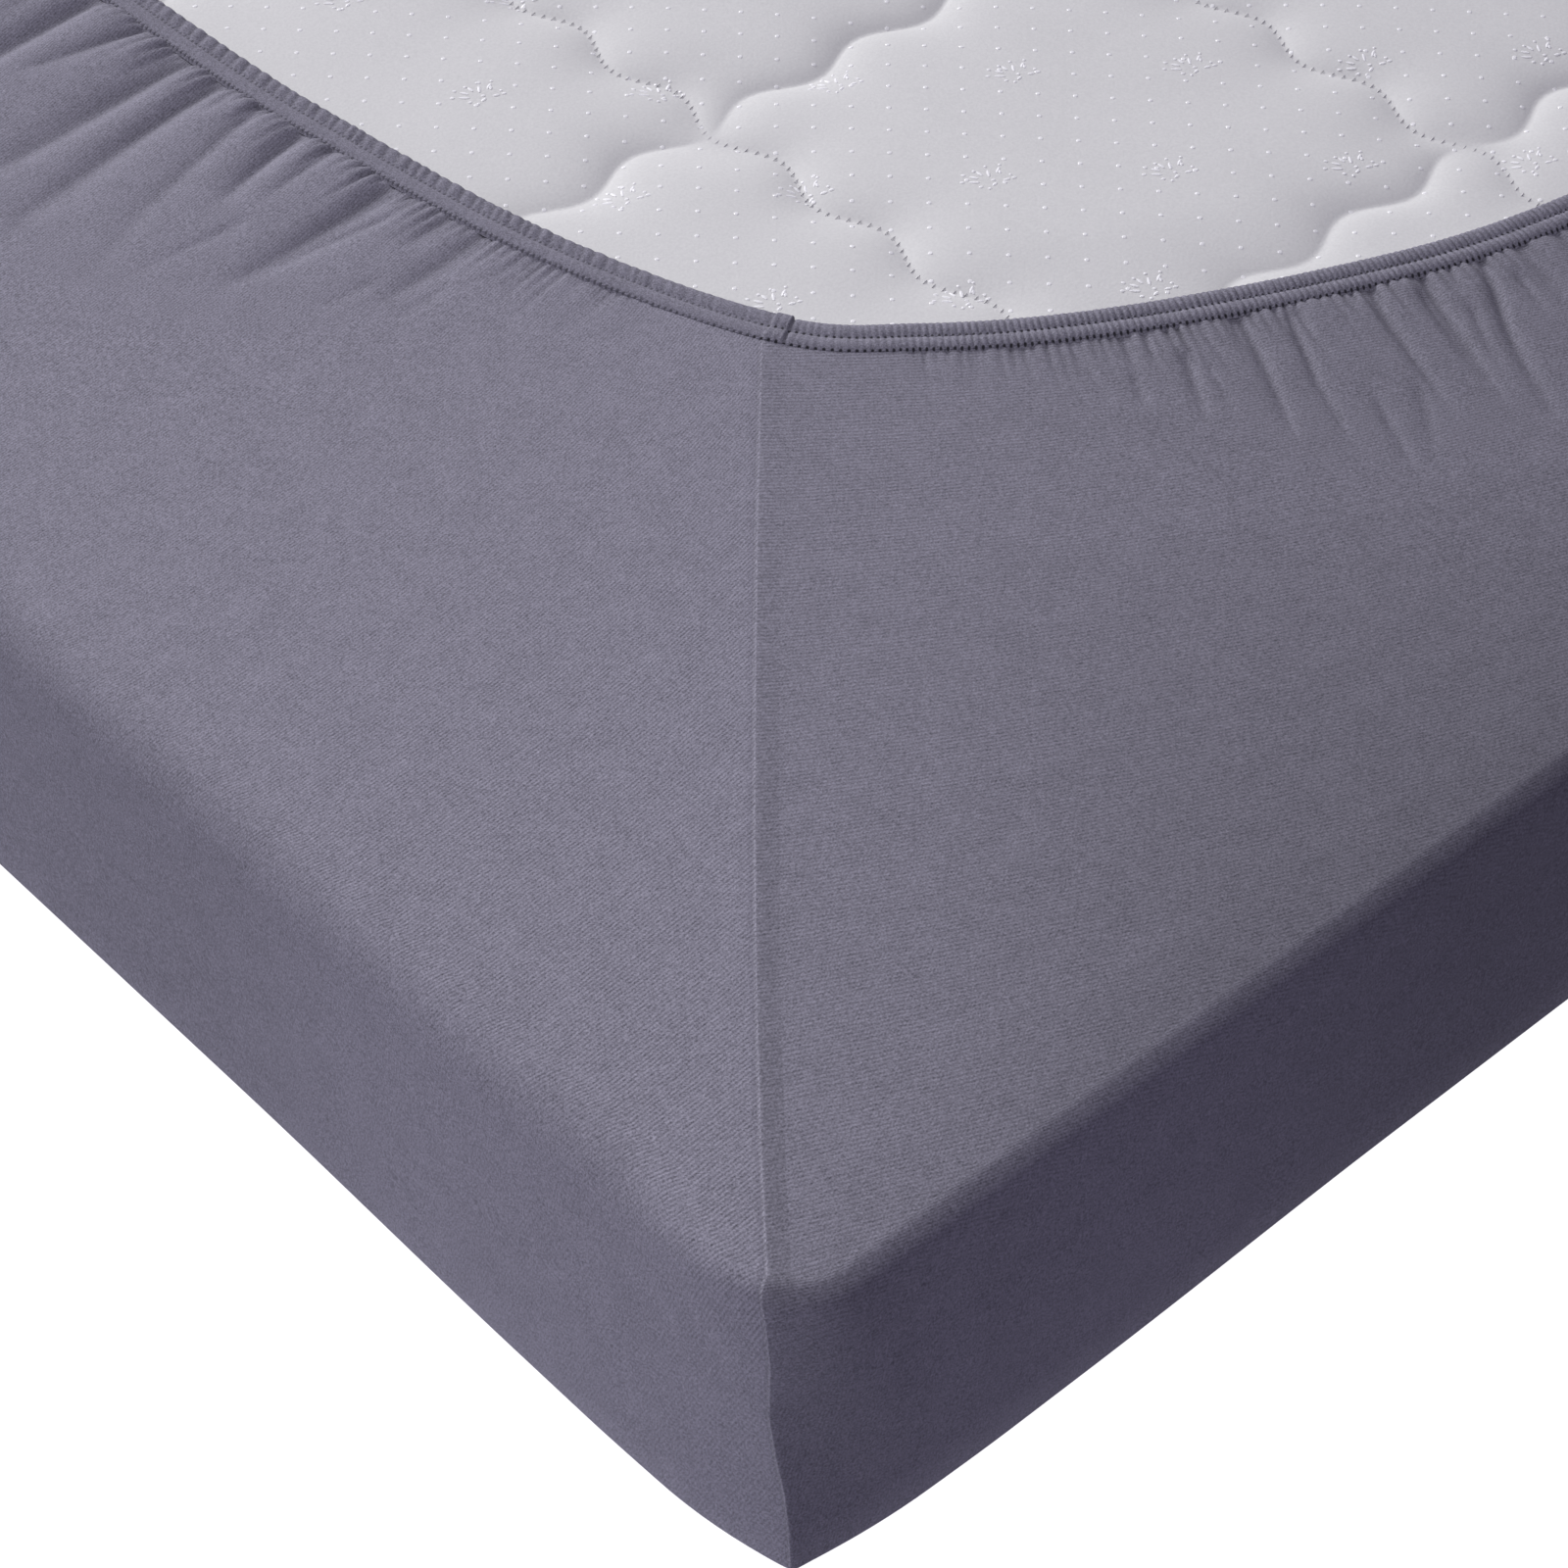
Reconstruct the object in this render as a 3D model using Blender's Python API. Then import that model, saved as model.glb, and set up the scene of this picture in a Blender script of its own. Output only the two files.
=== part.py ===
"""Fitted sheet pulled over a plain mattress, with the sheet's open side up.

The sheet covers the floor side and the four sides, turns over the upper rim and ends
on the quilted face in a gathered hem, which runs round as one elastic line.
X is the width, Y the length and +Z up. The origin is on the floor, under the middle.
"""
import math

import bmesh
import bpy
import numpy as np

# Mattress
MATTRESS_WIDTH = 1.000
MATTRESS_LENGTH = 2.000
MATTRESS_HEIGHT = 0.095
QUILT_PITCH = 0.160        # side of one quilted square
QUILT_SHIFT_X = -0.0513    # a quilting line's place across the width
QUILT_SHIFT_Y = -0.0078    # and another's along the length
QUILT_DEPTH = 0.004        # how far a quilting line is drawn in below the pillows
CUTS_PER_SQUARE = 3

# Sheet
CLOTH = 0.0020             # thickness of the cloth
GAP = 0.0003               # between the cloth and the mattress
SLACK = 0.0050             # how much larger the mattress's radii are than the cloth's
CORNER_RADIUS = 0.030      # outer radii of the dressed mattress
TOP_EDGE_RADIUS = 0.016
FLOOR_EDGE_RADIUS = 0.010
HEM_WIDTH = 0.013          # casing of the elastic
HEM_EXTRA = 0.0008         # how much thicker the casing is than the single cloth
GATHER_RISE = 0.0040       # height of the tallest fold at the hem
GATHER_START = 0.30        # folds begin at this share of the way from the rim to the hem
SEAM_RISE = 0.0012         # ridge of the corner seam on the upper face

# Steps round a quarter of the rim
LONG_STEPS = 24
ARC_STEPS = 6
SHORT_STEPS = 12

# Line of the hem in one quarter: distances from the long side and from the short end
HEM_LINE = (
    # from_long, from_short
    (0.205, 1.000),
    (0.205, 0.750),
    (0.205, 0.500),
    (0.210, 0.415),
    (0.221, 0.338),
    (0.243, 0.271),        # the corner seam meets the hem
    (0.270, 0.242),
    (0.312, 0.213),
    (0.374, 0.183),
    (0.430, 0.164),
    (0.500, 0.155),
)
SEAM_ROW = 5

# The four quarters, anticlockwise: signs of x and y, and how much further the hem is
# drawn in at that corner
QUARTERS = (
    # x_sign, y_sign, drawn_in
    (1, 1, 0.05),
    (-1, 1, -0.04),
    (-1, -1, 0.00),
    (1, -1, 0.03),
)

# Heights of the folds that follow each other along the hem, as shares of GATHER_RISE
FOLD_HEIGHTS = (1.00, 0.45, 0.80, 0.30, 0.95, 0.55, 0.70, 0.40, 0.85)

WIDTH = MATTRESS_WIDTH + 2 * (CLOTH + GAP)
LENGTH = MATTRESS_LENGTH + 2 * (CLOTH + GAP)
HEIGHT = MATTRESS_HEIGHT + 2 * (CLOTH + GAP)


def clear_scene():
    for obj in list(bpy.data.objects):
        bpy.data.objects.remove(obj, do_unlink=True)


def make_material(name, colour, roughness):
    material = bpy.data.materials.new(name)
    material.use_nodes = True
    shader = material.node_tree.nodes["Principled BSDF"]
    shader.inputs["Base Color"].default_value = (*colour, 1.0)
    shader.inputs["Roughness"].default_value = roughness
    shader.inputs["Metallic"].default_value = 0.0
    return material


def add_object(name, mesh_builder, material, collection):
    mesh = bpy.data.meshes.new(name)
    bmesh.ops.recalc_face_normals(mesh_builder, faces=mesh_builder.faces)
    mesh_builder.to_mesh(mesh)
    mesh_builder.free()
    mesh.materials.append(material)
    mesh.shade_smooth()
    mesh.set_sharp_from_angle(angle=math.radians(40))
    obj = bpy.data.objects.new(name, mesh)
    collection.objects.link(obj)
    return obj


def smooth_step(value, low, high):
    share = min(max((value - low) / (high - low), 0.0), 1.0)
    return share * share * (3 - 2 * share)


# ---- Plan of the sheet: a quarter, as distances from the long side and the short end

def quarter_stations():
    """Stations from the middle of the long side, round the corner, to mid short end."""
    stations = [("long", step / LONG_STEPS) for step in range(LONG_STEPS)]
    stations += [("arc", step / ARC_STEPS) for step in range(ARC_STEPS + 1)]
    stations += [("short", step / SHORT_STEPS) for step in range(1, SHORT_STEPS + 1)]
    return stations


def rim_point(station, inset, radius):
    """A point of a rounded rectangle that lies inset from the sheet's sides."""
    part, share = station
    centre = inset + radius
    if part == "long":
        return np.array((inset, LENGTH / 2 + share * (centre - LENGTH / 2)))
    if part == "short":
        return np.array((centre + share * (WIDTH / 2 - centre), inset))
    angle = share * math.pi / 2
    return np.array((centre - radius * math.cos(angle), centre - radius * math.sin(angle)))


def way_round(stations):
    """Each station's way: 0 at mid long side, 1 at the corner, 2 at mid short end."""
    points = [rim_point(station, 0.0, CORNER_RADIUS) for station in stations]
    steps = [np.linalg.norm(b - a) for a, b in zip(points, points[1:])]
    run = np.concatenate(([0.0], np.cumsum(steps)))
    corner = run[LONG_STEPS + ARC_STEPS // 2]
    return [r / corner if r <= corner else 1 + (r - corner) / (run[-1] - corner) for r in run]


def hem_curve(samples=12):
    """HEM_LINE as a smooth curve, in two runs that meet at the corner seam."""
    rows = np.array(HEM_LINE)
    before = rows[0] * (1, 2) - rows[1] * (0, 1)
    before[0] = rows[1][0]
    after = np.array((2 * rows[-1][0] - rows[-2][0], rows[-2][1]))
    knots = np.vstack((before, rows, after))
    runs = []
    for first, last in ((0, SEAM_ROW), (SEAM_ROW, len(rows) - 1)):
        points = []
        for row in range(first, last):
            p0, p1, p2, p3 = knots[row:row + 4]
            for t in np.linspace(0, 1, samples, endpoint=False):
                points.append(0.5 * (2 * p1 + (p2 - p0) * t
                                     + (2 * p0 - 5 * p1 + 4 * p2 - p3) * t ** 2
                                     + (3 * p1 - p0 - 3 * p2 + p3) * t ** 3))
        points.append(rows[last])
        runs.append(np.array(points))
    return runs


def along(points, share):
    """The point at a share of a run's length."""
    steps = np.linalg.norm(np.diff(points, axis=0), axis=1)
    run = np.concatenate(([0.0], np.cumsum(steps))) / steps.sum()
    return np.array([np.interp(share, run, points[:, axis]) for axis in (0, 1)])


def hem_point(runs, way, drawn_in):
    point = along(runs[0], way) if way <= 1 else along(runs[1], way - 1)
    return point * (1 + drawn_in * math.sin(way * math.pi / 2) ** 2)


# ---- Rings of the sheet

def ring_columns():
    """The ring's columns, anticlockwise: station, way, quarter and number along the rim."""
    stations = quarter_stations()
    ways = way_round(stations)
    columns = []
    for x_sign, y_sign, drawn_in in QUARTERS:
        quarter = list(zip(stations, ways))
        if x_sign != y_sign:
            quarter.reverse()
        for station, way in quarter[:-1]:
            columns.append((station, way, (x_sign, y_sign, drawn_in), len(columns)))
    return columns


def place(point, quarter, height):
    x_sign, y_sign = quarter[:2]
    return (x_sign * (WIDTH / 2 - point[0]), y_sign * (LENGTH / 2 - point[1]), height)


def rim_ring(columns, inset, height, cloth_inside):
    radius = CORNER_RADIUS - cloth_inside
    shrunk = max(radius - (inset - cloth_inside), 0.004)
    return [place(rim_point(station, inset, shrunk), quarter, height)
            for station, way, quarter, number in columns]


def fold_rise(way, number, share):
    """Height of the gathered folds: every other column, none beside the corner seam."""
    if number % 2 == 0:
        return 0.0
    height = FOLD_HEIGHTS[number // 2 % len(FOLD_HEIGHTS)]
    clear_of_seam = smooth_step(abs(way - 1), 0.12, 0.32)
    return GATHER_RISE * height * clear_of_seam * smooth_step(share, GATHER_START, 1.0)


def turned_ring(columns, runs, share, height, cloth_inside, hem_offset=None, seam=0.0):
    """A ring on the upper face, at a share of the way from the rim to the hem."""
    inset = TOP_EDGE_RADIUS
    radius = CORNER_RADIUS - inset
    ring = []
    for station, way, quarter, number in columns:
        start = rim_point(station, inset, radius)
        end = hem_point(runs, way, quarter[2])
        part = share
        if hem_offset is not None:
            part = 1 - hem_offset / np.linalg.norm(end - start)
        rise = fold_rise(way, number, part)
        if station == ("arc", 0.5):
            rise += seam
        ring.append(place(start + part * (end - start), quarter, height - cloth_inside + rise))
    return ring


def sheet_rings():
    """All rings, from the floor side up and over to the hem, and back on the inside."""
    columns = ring_columns()
    runs = hem_curve()
    rings = []
    for angle in (0, 45, 90):
        turn = math.radians(angle)
        rings.append(rim_ring(columns, FLOOR_EDGE_RADIUS * (1 - math.sin(turn)),
                              FLOOR_EDGE_RADIUS * (1 - math.cos(turn)), 0.0))
    for angle in (0, 30, 60, 90):
        turn = math.radians(angle)
        rings.append(rim_ring(columns, TOP_EDGE_RADIUS * (1 - math.cos(turn)),
                              HEIGHT - TOP_EDGE_RADIUS * (1 - math.sin(turn)), 0.0))
    for share in (0.25, 0.50, 0.75):
        rings.append(turned_ring(columns, runs, share, HEIGHT, 0.0, seam=SEAM_RISE))
    for offset, extra in ((HEM_WIDTH, 0.0), (HEM_WIDTH * 0.8, HEM_EXTRA), (0.0, HEM_EXTRA)):
        rings.append(turned_ring(columns, runs, 1.0, HEIGHT + extra, 0.0, offset, SEAM_RISE))

    rings.append(turned_ring(columns, runs, 1.0, HEIGHT, CLOTH, 0.0))
    rings.append(turned_ring(columns, runs, 1.0, HEIGHT, CLOTH, HEM_WIDTH))
    for share in (0.75, 0.50, 0.25):
        rings.append(turned_ring(columns, runs, share, HEIGHT, CLOTH))
    inner_radius = TOP_EDGE_RADIUS - CLOTH
    for angle in (90, 45, 0):
        turn = math.radians(angle)
        rings.append(rim_ring(columns, CLOTH + inner_radius * (1 - math.cos(turn)),
                              HEIGHT - CLOTH - inner_radius * (1 - math.sin(turn)), CLOTH))
    floor_inside = FLOOR_EDGE_RADIUS - CLOTH
    rings.append(rim_ring(columns, CLOTH, CLOTH + floor_inside, CLOTH))
    rings.append(rim_ring(columns, CLOTH + floor_inside, CLOTH, CLOTH))
    return rings


def build_sheet(collection):
    mesh_builder = bmesh.new()
    rings = [[mesh_builder.verts.new(point) for point in ring] for ring in sheet_rings()]
    count = len(rings[0])
    mesh_builder.faces.new(reversed(rings[0]))
    for lower, upper in zip(rings, rings[1:]):
        for column in range(count):
            after = (column + 1) % count
            mesh_builder.faces.new((lower[column], lower[after], upper[after], upper[column]))
    mesh_builder.faces.new(rings[-1])
    material = make_material("slate_jersey", (0.225, 0.215, 0.270), 0.90)
    return add_object("fitted_sheet", mesh_builder, material, collection)


# ---- Mattress

def level_edges(mesh_builder):
    """Edges of the box's upper and lower faces."""
    return [edge for edge in mesh_builder.edges
            if abs(edge.verts[0].co.z - edge.verts[1].co.z) < 1e-6]


def cut_lines(half, shift):
    """Places of the cuts along one axis: CUTS_PER_SQUARE between quilting lines."""
    step = QUILT_PITCH / CUTS_PER_SQUARE
    count = int(half / step) + 1
    lines = [shift + step * number for number in range(-count, count + 1)]
    return [line for line in lines if abs(line) < half - TOP_EDGE_RADIUS - SLACK]


def on_quilting_line(coordinate, shift):
    from_line = abs((coordinate - shift + QUILT_PITCH / 2) % QUILT_PITCH - QUILT_PITCH / 2)
    return from_line < QUILT_PITCH / CUTS_PER_SQUARE / 2


def build_mattress(collection):
    mesh_builder = bmesh.new()
    bmesh.ops.create_cube(mesh_builder, size=1.0)
    bmesh.ops.scale(mesh_builder, vec=(MATTRESS_WIDTH, MATTRESS_LENGTH, MATTRESS_HEIGHT),
                    verts=mesh_builder.verts)
    bmesh.ops.translate(mesh_builder, vec=(0, 0, HEIGHT / 2), verts=mesh_builder.verts)
    upright = [edge for edge in mesh_builder.edges if edge not in level_edges(mesh_builder)]
    bmesh.ops.bevel(mesh_builder, geom=upright, offset=CORNER_RADIUS - CLOTH + SLACK,
                    segments=5, profile=0.5, affect="EDGES")
    rims = [edge for edge in level_edges(mesh_builder) if len(edge.link_faces) == 2]
    bmesh.ops.bevel(mesh_builder, geom=rims, offset=TOP_EDGE_RADIUS - CLOTH + SLACK,
                    segments=3, profile=0.5, affect="EDGES")

    half_width, half_length = MATTRESS_WIDTH / 2, MATTRESS_LENGTH / 2
    for axis, half, shift in ((0, half_width, QUILT_SHIFT_X), (1, half_length, QUILT_SHIFT_Y)):
        for line in cut_lines(half, shift):
            point, normal = [0, 0, 0], [0, 0, 0]
            point[axis], normal[axis] = line, 1
            everything = mesh_builder.verts[:] + mesh_builder.edges[:] + mesh_builder.faces[:]
            bmesh.ops.bisect_plane(mesh_builder, geom=everything, plane_co=point,
                                   plane_no=normal, dist=1e-6)

    flat_inset = TOP_EDGE_RADIUS + SLACK
    top = (HEIGHT + MATTRESS_HEIGHT) / 2
    for vert in mesh_builder.verts:
        x, y, z = vert.co
        inside = abs(x) < half_width - flat_inset and abs(y) < half_length - flat_inset
        on_line = on_quilting_line(x, QUILT_SHIFT_X) or on_quilting_line(y, QUILT_SHIFT_Y)
        if z > top - 1e-5 and inside and on_line:
            vert.co.z -= QUILT_DEPTH
    material = make_material("white_ticking", (0.80, 0.79, 0.78), 0.85)
    return add_object("mattress", mesh_builder, material, collection)


def main():
    clear_scene()
    collection = bpy.data.collections.new("fitted_sheet_on_mattress")
    bpy.context.scene.collection.children.link(collection)
    build_mattress(collection)
    build_sheet(collection)


main()
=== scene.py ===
import math

import bpy
import numpy as np
from mathutils import Matrix, Vector


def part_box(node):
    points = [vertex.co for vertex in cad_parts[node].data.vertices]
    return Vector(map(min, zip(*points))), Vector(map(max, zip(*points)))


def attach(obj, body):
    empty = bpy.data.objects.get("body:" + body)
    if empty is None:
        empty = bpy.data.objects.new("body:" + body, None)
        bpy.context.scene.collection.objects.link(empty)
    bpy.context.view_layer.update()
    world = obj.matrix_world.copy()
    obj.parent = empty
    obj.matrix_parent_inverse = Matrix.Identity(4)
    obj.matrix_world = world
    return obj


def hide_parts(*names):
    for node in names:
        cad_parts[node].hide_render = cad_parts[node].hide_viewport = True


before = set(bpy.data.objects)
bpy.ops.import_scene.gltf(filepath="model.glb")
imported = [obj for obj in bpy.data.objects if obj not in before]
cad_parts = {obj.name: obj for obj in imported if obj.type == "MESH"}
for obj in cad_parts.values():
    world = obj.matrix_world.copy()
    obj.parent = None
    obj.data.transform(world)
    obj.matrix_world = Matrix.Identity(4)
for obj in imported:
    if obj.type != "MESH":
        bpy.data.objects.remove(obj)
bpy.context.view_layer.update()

mm = 0.001

# sizes that everything else hangs on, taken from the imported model
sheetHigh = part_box("fitted_sheet")[1]
padLow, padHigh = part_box("mattress")
halfWidth = sheetHigh.x
halfLength = sheetHigh.y
padTop = padHigh.z
clothLift = 2.3 * mm                     # the cloth's upper side over the mattress
clothTop = padTop + clothLift
photoCorner = Vector((-halfWidth, -halfLength, 0.0))
print("frame: dressed mattress", round(2 * halfWidth, 4), "x", round(2 * halfLength, 4), "m")

# signs of x and y, and how much further the hem is drawn in at that corner
quarters = ((1, 1, 0.05), (-1, 1, -0.04), (-1, -1, 0.00), (1, -1, 0.03))
photoQuarter = 2


# small helpers

def smooth(value, low, high):
    share = np.clip((value - low) / (high - low), 0.0, 1.0)
    return share * share * (3 - 2 * share)


def node(tree, kind, inputs=None, **settings):
    made = tree.nodes.new("ShaderNode" + kind)
    for name, value in settings.items():
        setattr(made, name, value)
    for name, value in (inputs or {}).items():
        if isinstance(value, bpy.types.NodeSocket):
            tree.links.new(value, made.inputs[name])
        else:
            made.inputs[name].default_value = value
    return made


def math2(tree, operation, first, second=0.0, third=0.0):
    made = node(tree, "Math", {0: first, 1: second, 2: third}, operation=operation)
    return made.outputs[0]


def plainMaterial(name, colour, roughness):
    material = bpy.data.materials.new(name)
    material.use_nodes = True
    shader = material.node_tree.nodes["Principled BSDF"]
    shader.inputs["Base Color"].default_value = (*colour, 1.0)
    shader.inputs["Roughness"].default_value = roughness
    return material, material.node_tree, shader


def noise(tree, place, scale, detail=2.0, roughness=0.5):
    made = node(tree, "TexNoise", {"Vector": place, "Scale": scale, "Detail": detail,
                                   "Roughness": roughness})
    return made.outputs["Fac"]


def attribute(tree, name):
    return node(tree, "Attribute", attribute_name=name).outputs["Fac"]


def blend(tree, amount, first, second, **settings):
    made = node(tree, "Mix", {"Factor": amount, "A": (*first, 1.0), "B": (*second, 1.0)},
                data_type="RGBA", **settings)
    return made.outputs["Result"]


def paint(tree, shader, amount, first, second):
    tree.links.new(blend(tree, amount, first, second), shader.inputs["Base Color"])


def addRelief(tree, shader, height, distance):
    relief = node(tree, "Bump", {"Height": height, "Strength": 0.5, "Distance": distance})
    tree.links.new(relief.outputs["Normal"], shader.inputs["Normal"])


def keepValues(obj, name, values, domain="POINT"):
    # one number per point or face of the mesh, for the material to read
    layer = obj.data.attributes.new(name, "FLOAT", domain)
    layer.data.foreach_set("value", np.ascontiguousarray(values, np.float32).ravel())


def piece(name, points, faces, material, layers=None, smoothed=True):
    mesh = bpy.data.meshes.new(name)
    mesh.from_pydata([tuple(p) for p in np.asarray(points)], [], [tuple(f) for f in faces])
    mesh.materials.append(material)
    if smoothed:
        mesh.shade_smooth()
    for layer, perCorner in (layers or {}).items():
        uv = mesh.uv_layers.new(name=layer)
        uv.data.foreach_set("uv", np.asarray(perCorner, np.float32).ravel())
    mesh.validate()
    obj = bpy.data.objects.new(name, mesh)
    bpy.context.scene.collection.objects.link(obj)
    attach(obj, "root")
    return obj


def ringFaces(rows, columns, closed=True):
    faces = []
    for row in range(rows - 1):
        for column in range(columns if closed else columns - 1):
            after = (column + 1) % columns
            faces.append((row * columns + column, row * columns + after,
                          (row + 1) * columns + after, (row + 1) * columns + column))
    return faces


def faceCorners(values, row, after):
    # the four corners' values of every face between a row and the next
    return np.stack((values[row], values[row][after], values[row + 1][after], values[row + 1]), 1)


def bySide(s, pair):
    # the first of the pair on the long side, the second on the short end
    return np.where(s < 0, *pair)


def toPlan(u, v, quarter):
    xSign, ySign = quarters[quarter][:2]
    return xSign * (halfWidth - u), ySign * (halfLength - v)


# camera: the photograph's angle, set off from the photographed corner

shot = {
    "fromCorner": (-0.3895, -0.4169, 0.8433),
    "forward": (0.4810, 0.5196, -0.7062),
    "up": (0.4706, 0.5266, 0.7080),
    "lens": 96.3,
    "sensor": 36.0,
    "clip": (0.02, 600.0),               # the floor's far edge lies within it
}


def addCamera():
    data = bpy.data.cameras.new("photoCamera")
    data.lens = shot["lens"]
    data.sensor_width = shot["sensor"]
    data.clip_start, data.clip_end = shot["clip"]
    camera = bpy.data.objects.new("photoCamera", data)
    back = -Vector(shot["forward"]).normalized()
    right = Vector(shot["up"]).cross(back).normalized()
    up = back.cross(right)
    turn = Matrix((right, up, back)).transposed().to_4x4()
    camera.matrix_world = Matrix.Translation(photoCorner + Vector(shot["fromCorner"])) @ turn
    bpy.context.scene.collection.objects.link(camera)
    bpy.context.scene.camera = camera


addCamera()
print("camera set")


# studio: a soft lamp and a low sun, white paper that throws light up, a dim room

studio = {
    "lamp": (-0.10, 0.30, 1.20),         # place from the photographed corner
    "lampAim": (0.22, 0.25, 0.09),
    "lampSize": 0.5,
    "lampPower": 5.5,
    "sunFrom": (0.18, 2.15, 0.81),       # low and even over the whole length, so the folds show
    "sunStrength": 2.9,
    "sunAngle": 18.0,                    # degrees across, for soft shadows
    "room": (0.142, 0.128, 0.189),
    "bounce": 1.30,                      # light thrown up by the paper round the mattress
    "bounceFrom": (-0.60, 0.25, -0.76),
    "bounceTint": (1.0, 1.0, 1.06),
    "floor": (0.93, 0.93, 0.94),
    "floorSize": 240.0,
    "floorDrop": 0.0006,                 # just under the sheet
}


def addLamp():
    data = bpy.data.lights.new("softbox", "AREA")
    data.shape = "SQUARE"
    data.size = studio["lampSize"]
    data.energy = studio["lampPower"]
    target = photoCorner + Vector(studio["lampAim"])
    place = photoCorner + Vector(studio["lamp"])
    showLight(data, place, place - target)


def addSun():
    data = bpy.data.lights.new("raking", "SUN")
    data.energy = studio["sunStrength"]
    data.angle = math.radians(studio["sunAngle"])
    showLight(data, Vector(studio["sunFrom"]), Vector(studio["sunFrom"]))


def showLight(data, place, back):
    light = bpy.data.objects.new(data.name, data)
    light.location = place
    light.rotation_euler = (-back).to_track_quat("-Z", "Y").to_euler()
    light.visible_camera = False
    bpy.context.scene.collection.objects.link(light)


def addStudio():
    addLamp()
    addSun()
    bpy.context.scene.view_settings.view_transform = "Standard"

    world = bpy.data.worlds.new("room")
    world.use_nodes = True
    tree = world.node_tree
    sky = tree.nodes["Background"]
    way = node(tree, "TexCoord").outputs["Generated"]
    facing = node(tree, "VectorMath", {0: way, 1: studio["bounceFrom"]}, operation="DOT_PRODUCT")
    lobe = math2(tree, "POWER", math2(tree, "MAXIMUM", facing.outputs["Value"], 0.0), 2.0)
    thrown = math2(tree, "MULTIPLY", lobe, studio["bounce"])
    light = node(tree, "VectorMath", {0: thrown, 1: studio["bounceTint"], 2: studio["room"]},
                 operation="MULTIPLY_ADD")
    tree.links.new(light.outputs[0], sky.inputs["Color"])
    bpy.context.scene.world = world

    half = studio["floorSize"] / 2
    low = -studio["floorDrop"]
    mesh = bpy.data.meshes.new("studioFloor")
    mesh.from_pydata([(-half, -half, low), (half, -half, low), (half, half, low),
                      (-half, half, low)], [], [(0, 1, 2, 3)])
    floor = bpy.data.objects.new("studioFloor", mesh)
    material, tree, shader = plainMaterial("palePaper", studio["floor"], 0.95)
    shader.inputs["Emission Color"].default_value = (1.0, 1.0, 1.0, 1.0)
    shader.inputs["Emission Strength"].default_value = 1.0
    mesh.materials.append(material)
    floor.visible_diffuse = False        # the room's light stands in for what the paper throws back
    floor.visible_glossy = False
    floor.visible_shadow = False
    bpy.context.scene.collection.objects.link(floor)


addStudio()
print("studio set")


# line of the hem: a quarter, as distances in from the long side and the short end

hem = {
    "line": ((0.205, 1.000), (0.205, 0.750), (0.205, 0.500), (0.210, 0.415), (0.221, 0.338),
             (0.243, 0.271),             # the corner seam meets the hem here
             (0.270, 0.242), (0.312, 0.213), (0.374, 0.183), (0.430, 0.164), (0.500, 0.155)),
    "seamRow": 5,
    "width": 12.2 * mm,                  # line above to where the gathered cloth begins
}


def hemKnots():
    rows = np.array(hem["line"])
    before = np.array((rows[1][0], 2 * rows[0][1] - rows[1][1]))
    after = np.array((2 * rows[-1][0] - rows[-2][0], rows[-2][1]))
    knots = np.vstack((before, rows, after))
    points = []
    seamAt = 0
    for row in range(len(rows) - 1):
        p0, p1, p2, p3 = knots[row:row + 4]
        if row == hem["seamRow"]:
            seamAt = len(points)
        for t in np.linspace(0, 1, 60, endpoint=False):
            points.append(0.5 * (2 * p1 + (p2 - p0) * t
                                 + (2 * p0 - 5 * p1 + 4 * p2 - p3) * t ** 2
                                 + (3 * p1 - p0 - 3 * p2 + p3) * t ** 3))
    points.append(rows[-1])
    points = np.array(points)
    steps = np.linalg.norm(np.diff(points, axis=0), axis=1)
    run = np.concatenate(([0.0], np.cumsum(steps)))
    return points, run - run[seamAt]


hemPoints, hemRun = hemKnots()
longRun = -hemRun[0]
shortRun = hemRun[-1]


def hemAt(s, quarter):
    way = 1 + np.where(s < 0, s / longRun, s / shortRun)
    grow = 1 + quarters[quarter][2] * np.sin(way * math.pi / 2) ** 2
    return np.stack([np.interp(s, hemRun, hemPoints[:, axis]) * grow for axis in (0, 1)], -1)


def hemOutward(s, quarter):
    ahead = hemAt(np.clip(s + 4 * mm, -longRun, shortRun), quarter)
    behind = hemAt(np.clip(s - 4 * mm, -longRun, shortRun), quarter)
    run = (ahead - behind) / np.linalg.norm(ahead - behind, axis=-1, keepdims=True)
    return np.stack((run[..., 1], -run[..., 0]), -1)


def ringOrder(perQuarter):
    # columns run anticlockwise round the whole hem, every quarter handing on to the next
    order = []
    for quarter, (xSign, ySign, drawnIn) in enumerate(quarters):
        s = np.asarray(perQuarter[quarter])
        if xSign != ySign:
            s = s[::-1]
        order.append((quarter, s[:-1]))
    return order


# jersey: slate blue, fine knit lines, a little heather and a few slubs

stitches = {
    "pitch": 1.9 * mm,
    "length": 1.2 * mm,
    "radius": 0.22 * mm,
    "lift": 0.02 * mm,                   # the threads' middle over the casing
    "rows": (-0.8 * mm, 4.8 * mm),       # lower and upper row, inwards from where the cloth begins
    "colour": (0.235, 0.225, 0.285),
    "dark": (0.17, 0.162, 0.21),
    "light": (0.26, 0.25, 0.315),
    # painted shade in the needle holes between the stitches
    "holeWide": 0.48 * mm,
    "holeHigh": (0.60 * mm, 0.55 * mm),  # at the lower and the upper row
    "holeShade": (0.85, 0.80),
    "holeEdge": (1.3, 0.3),              # where a hole begins, and where it is fully dark
}

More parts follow.
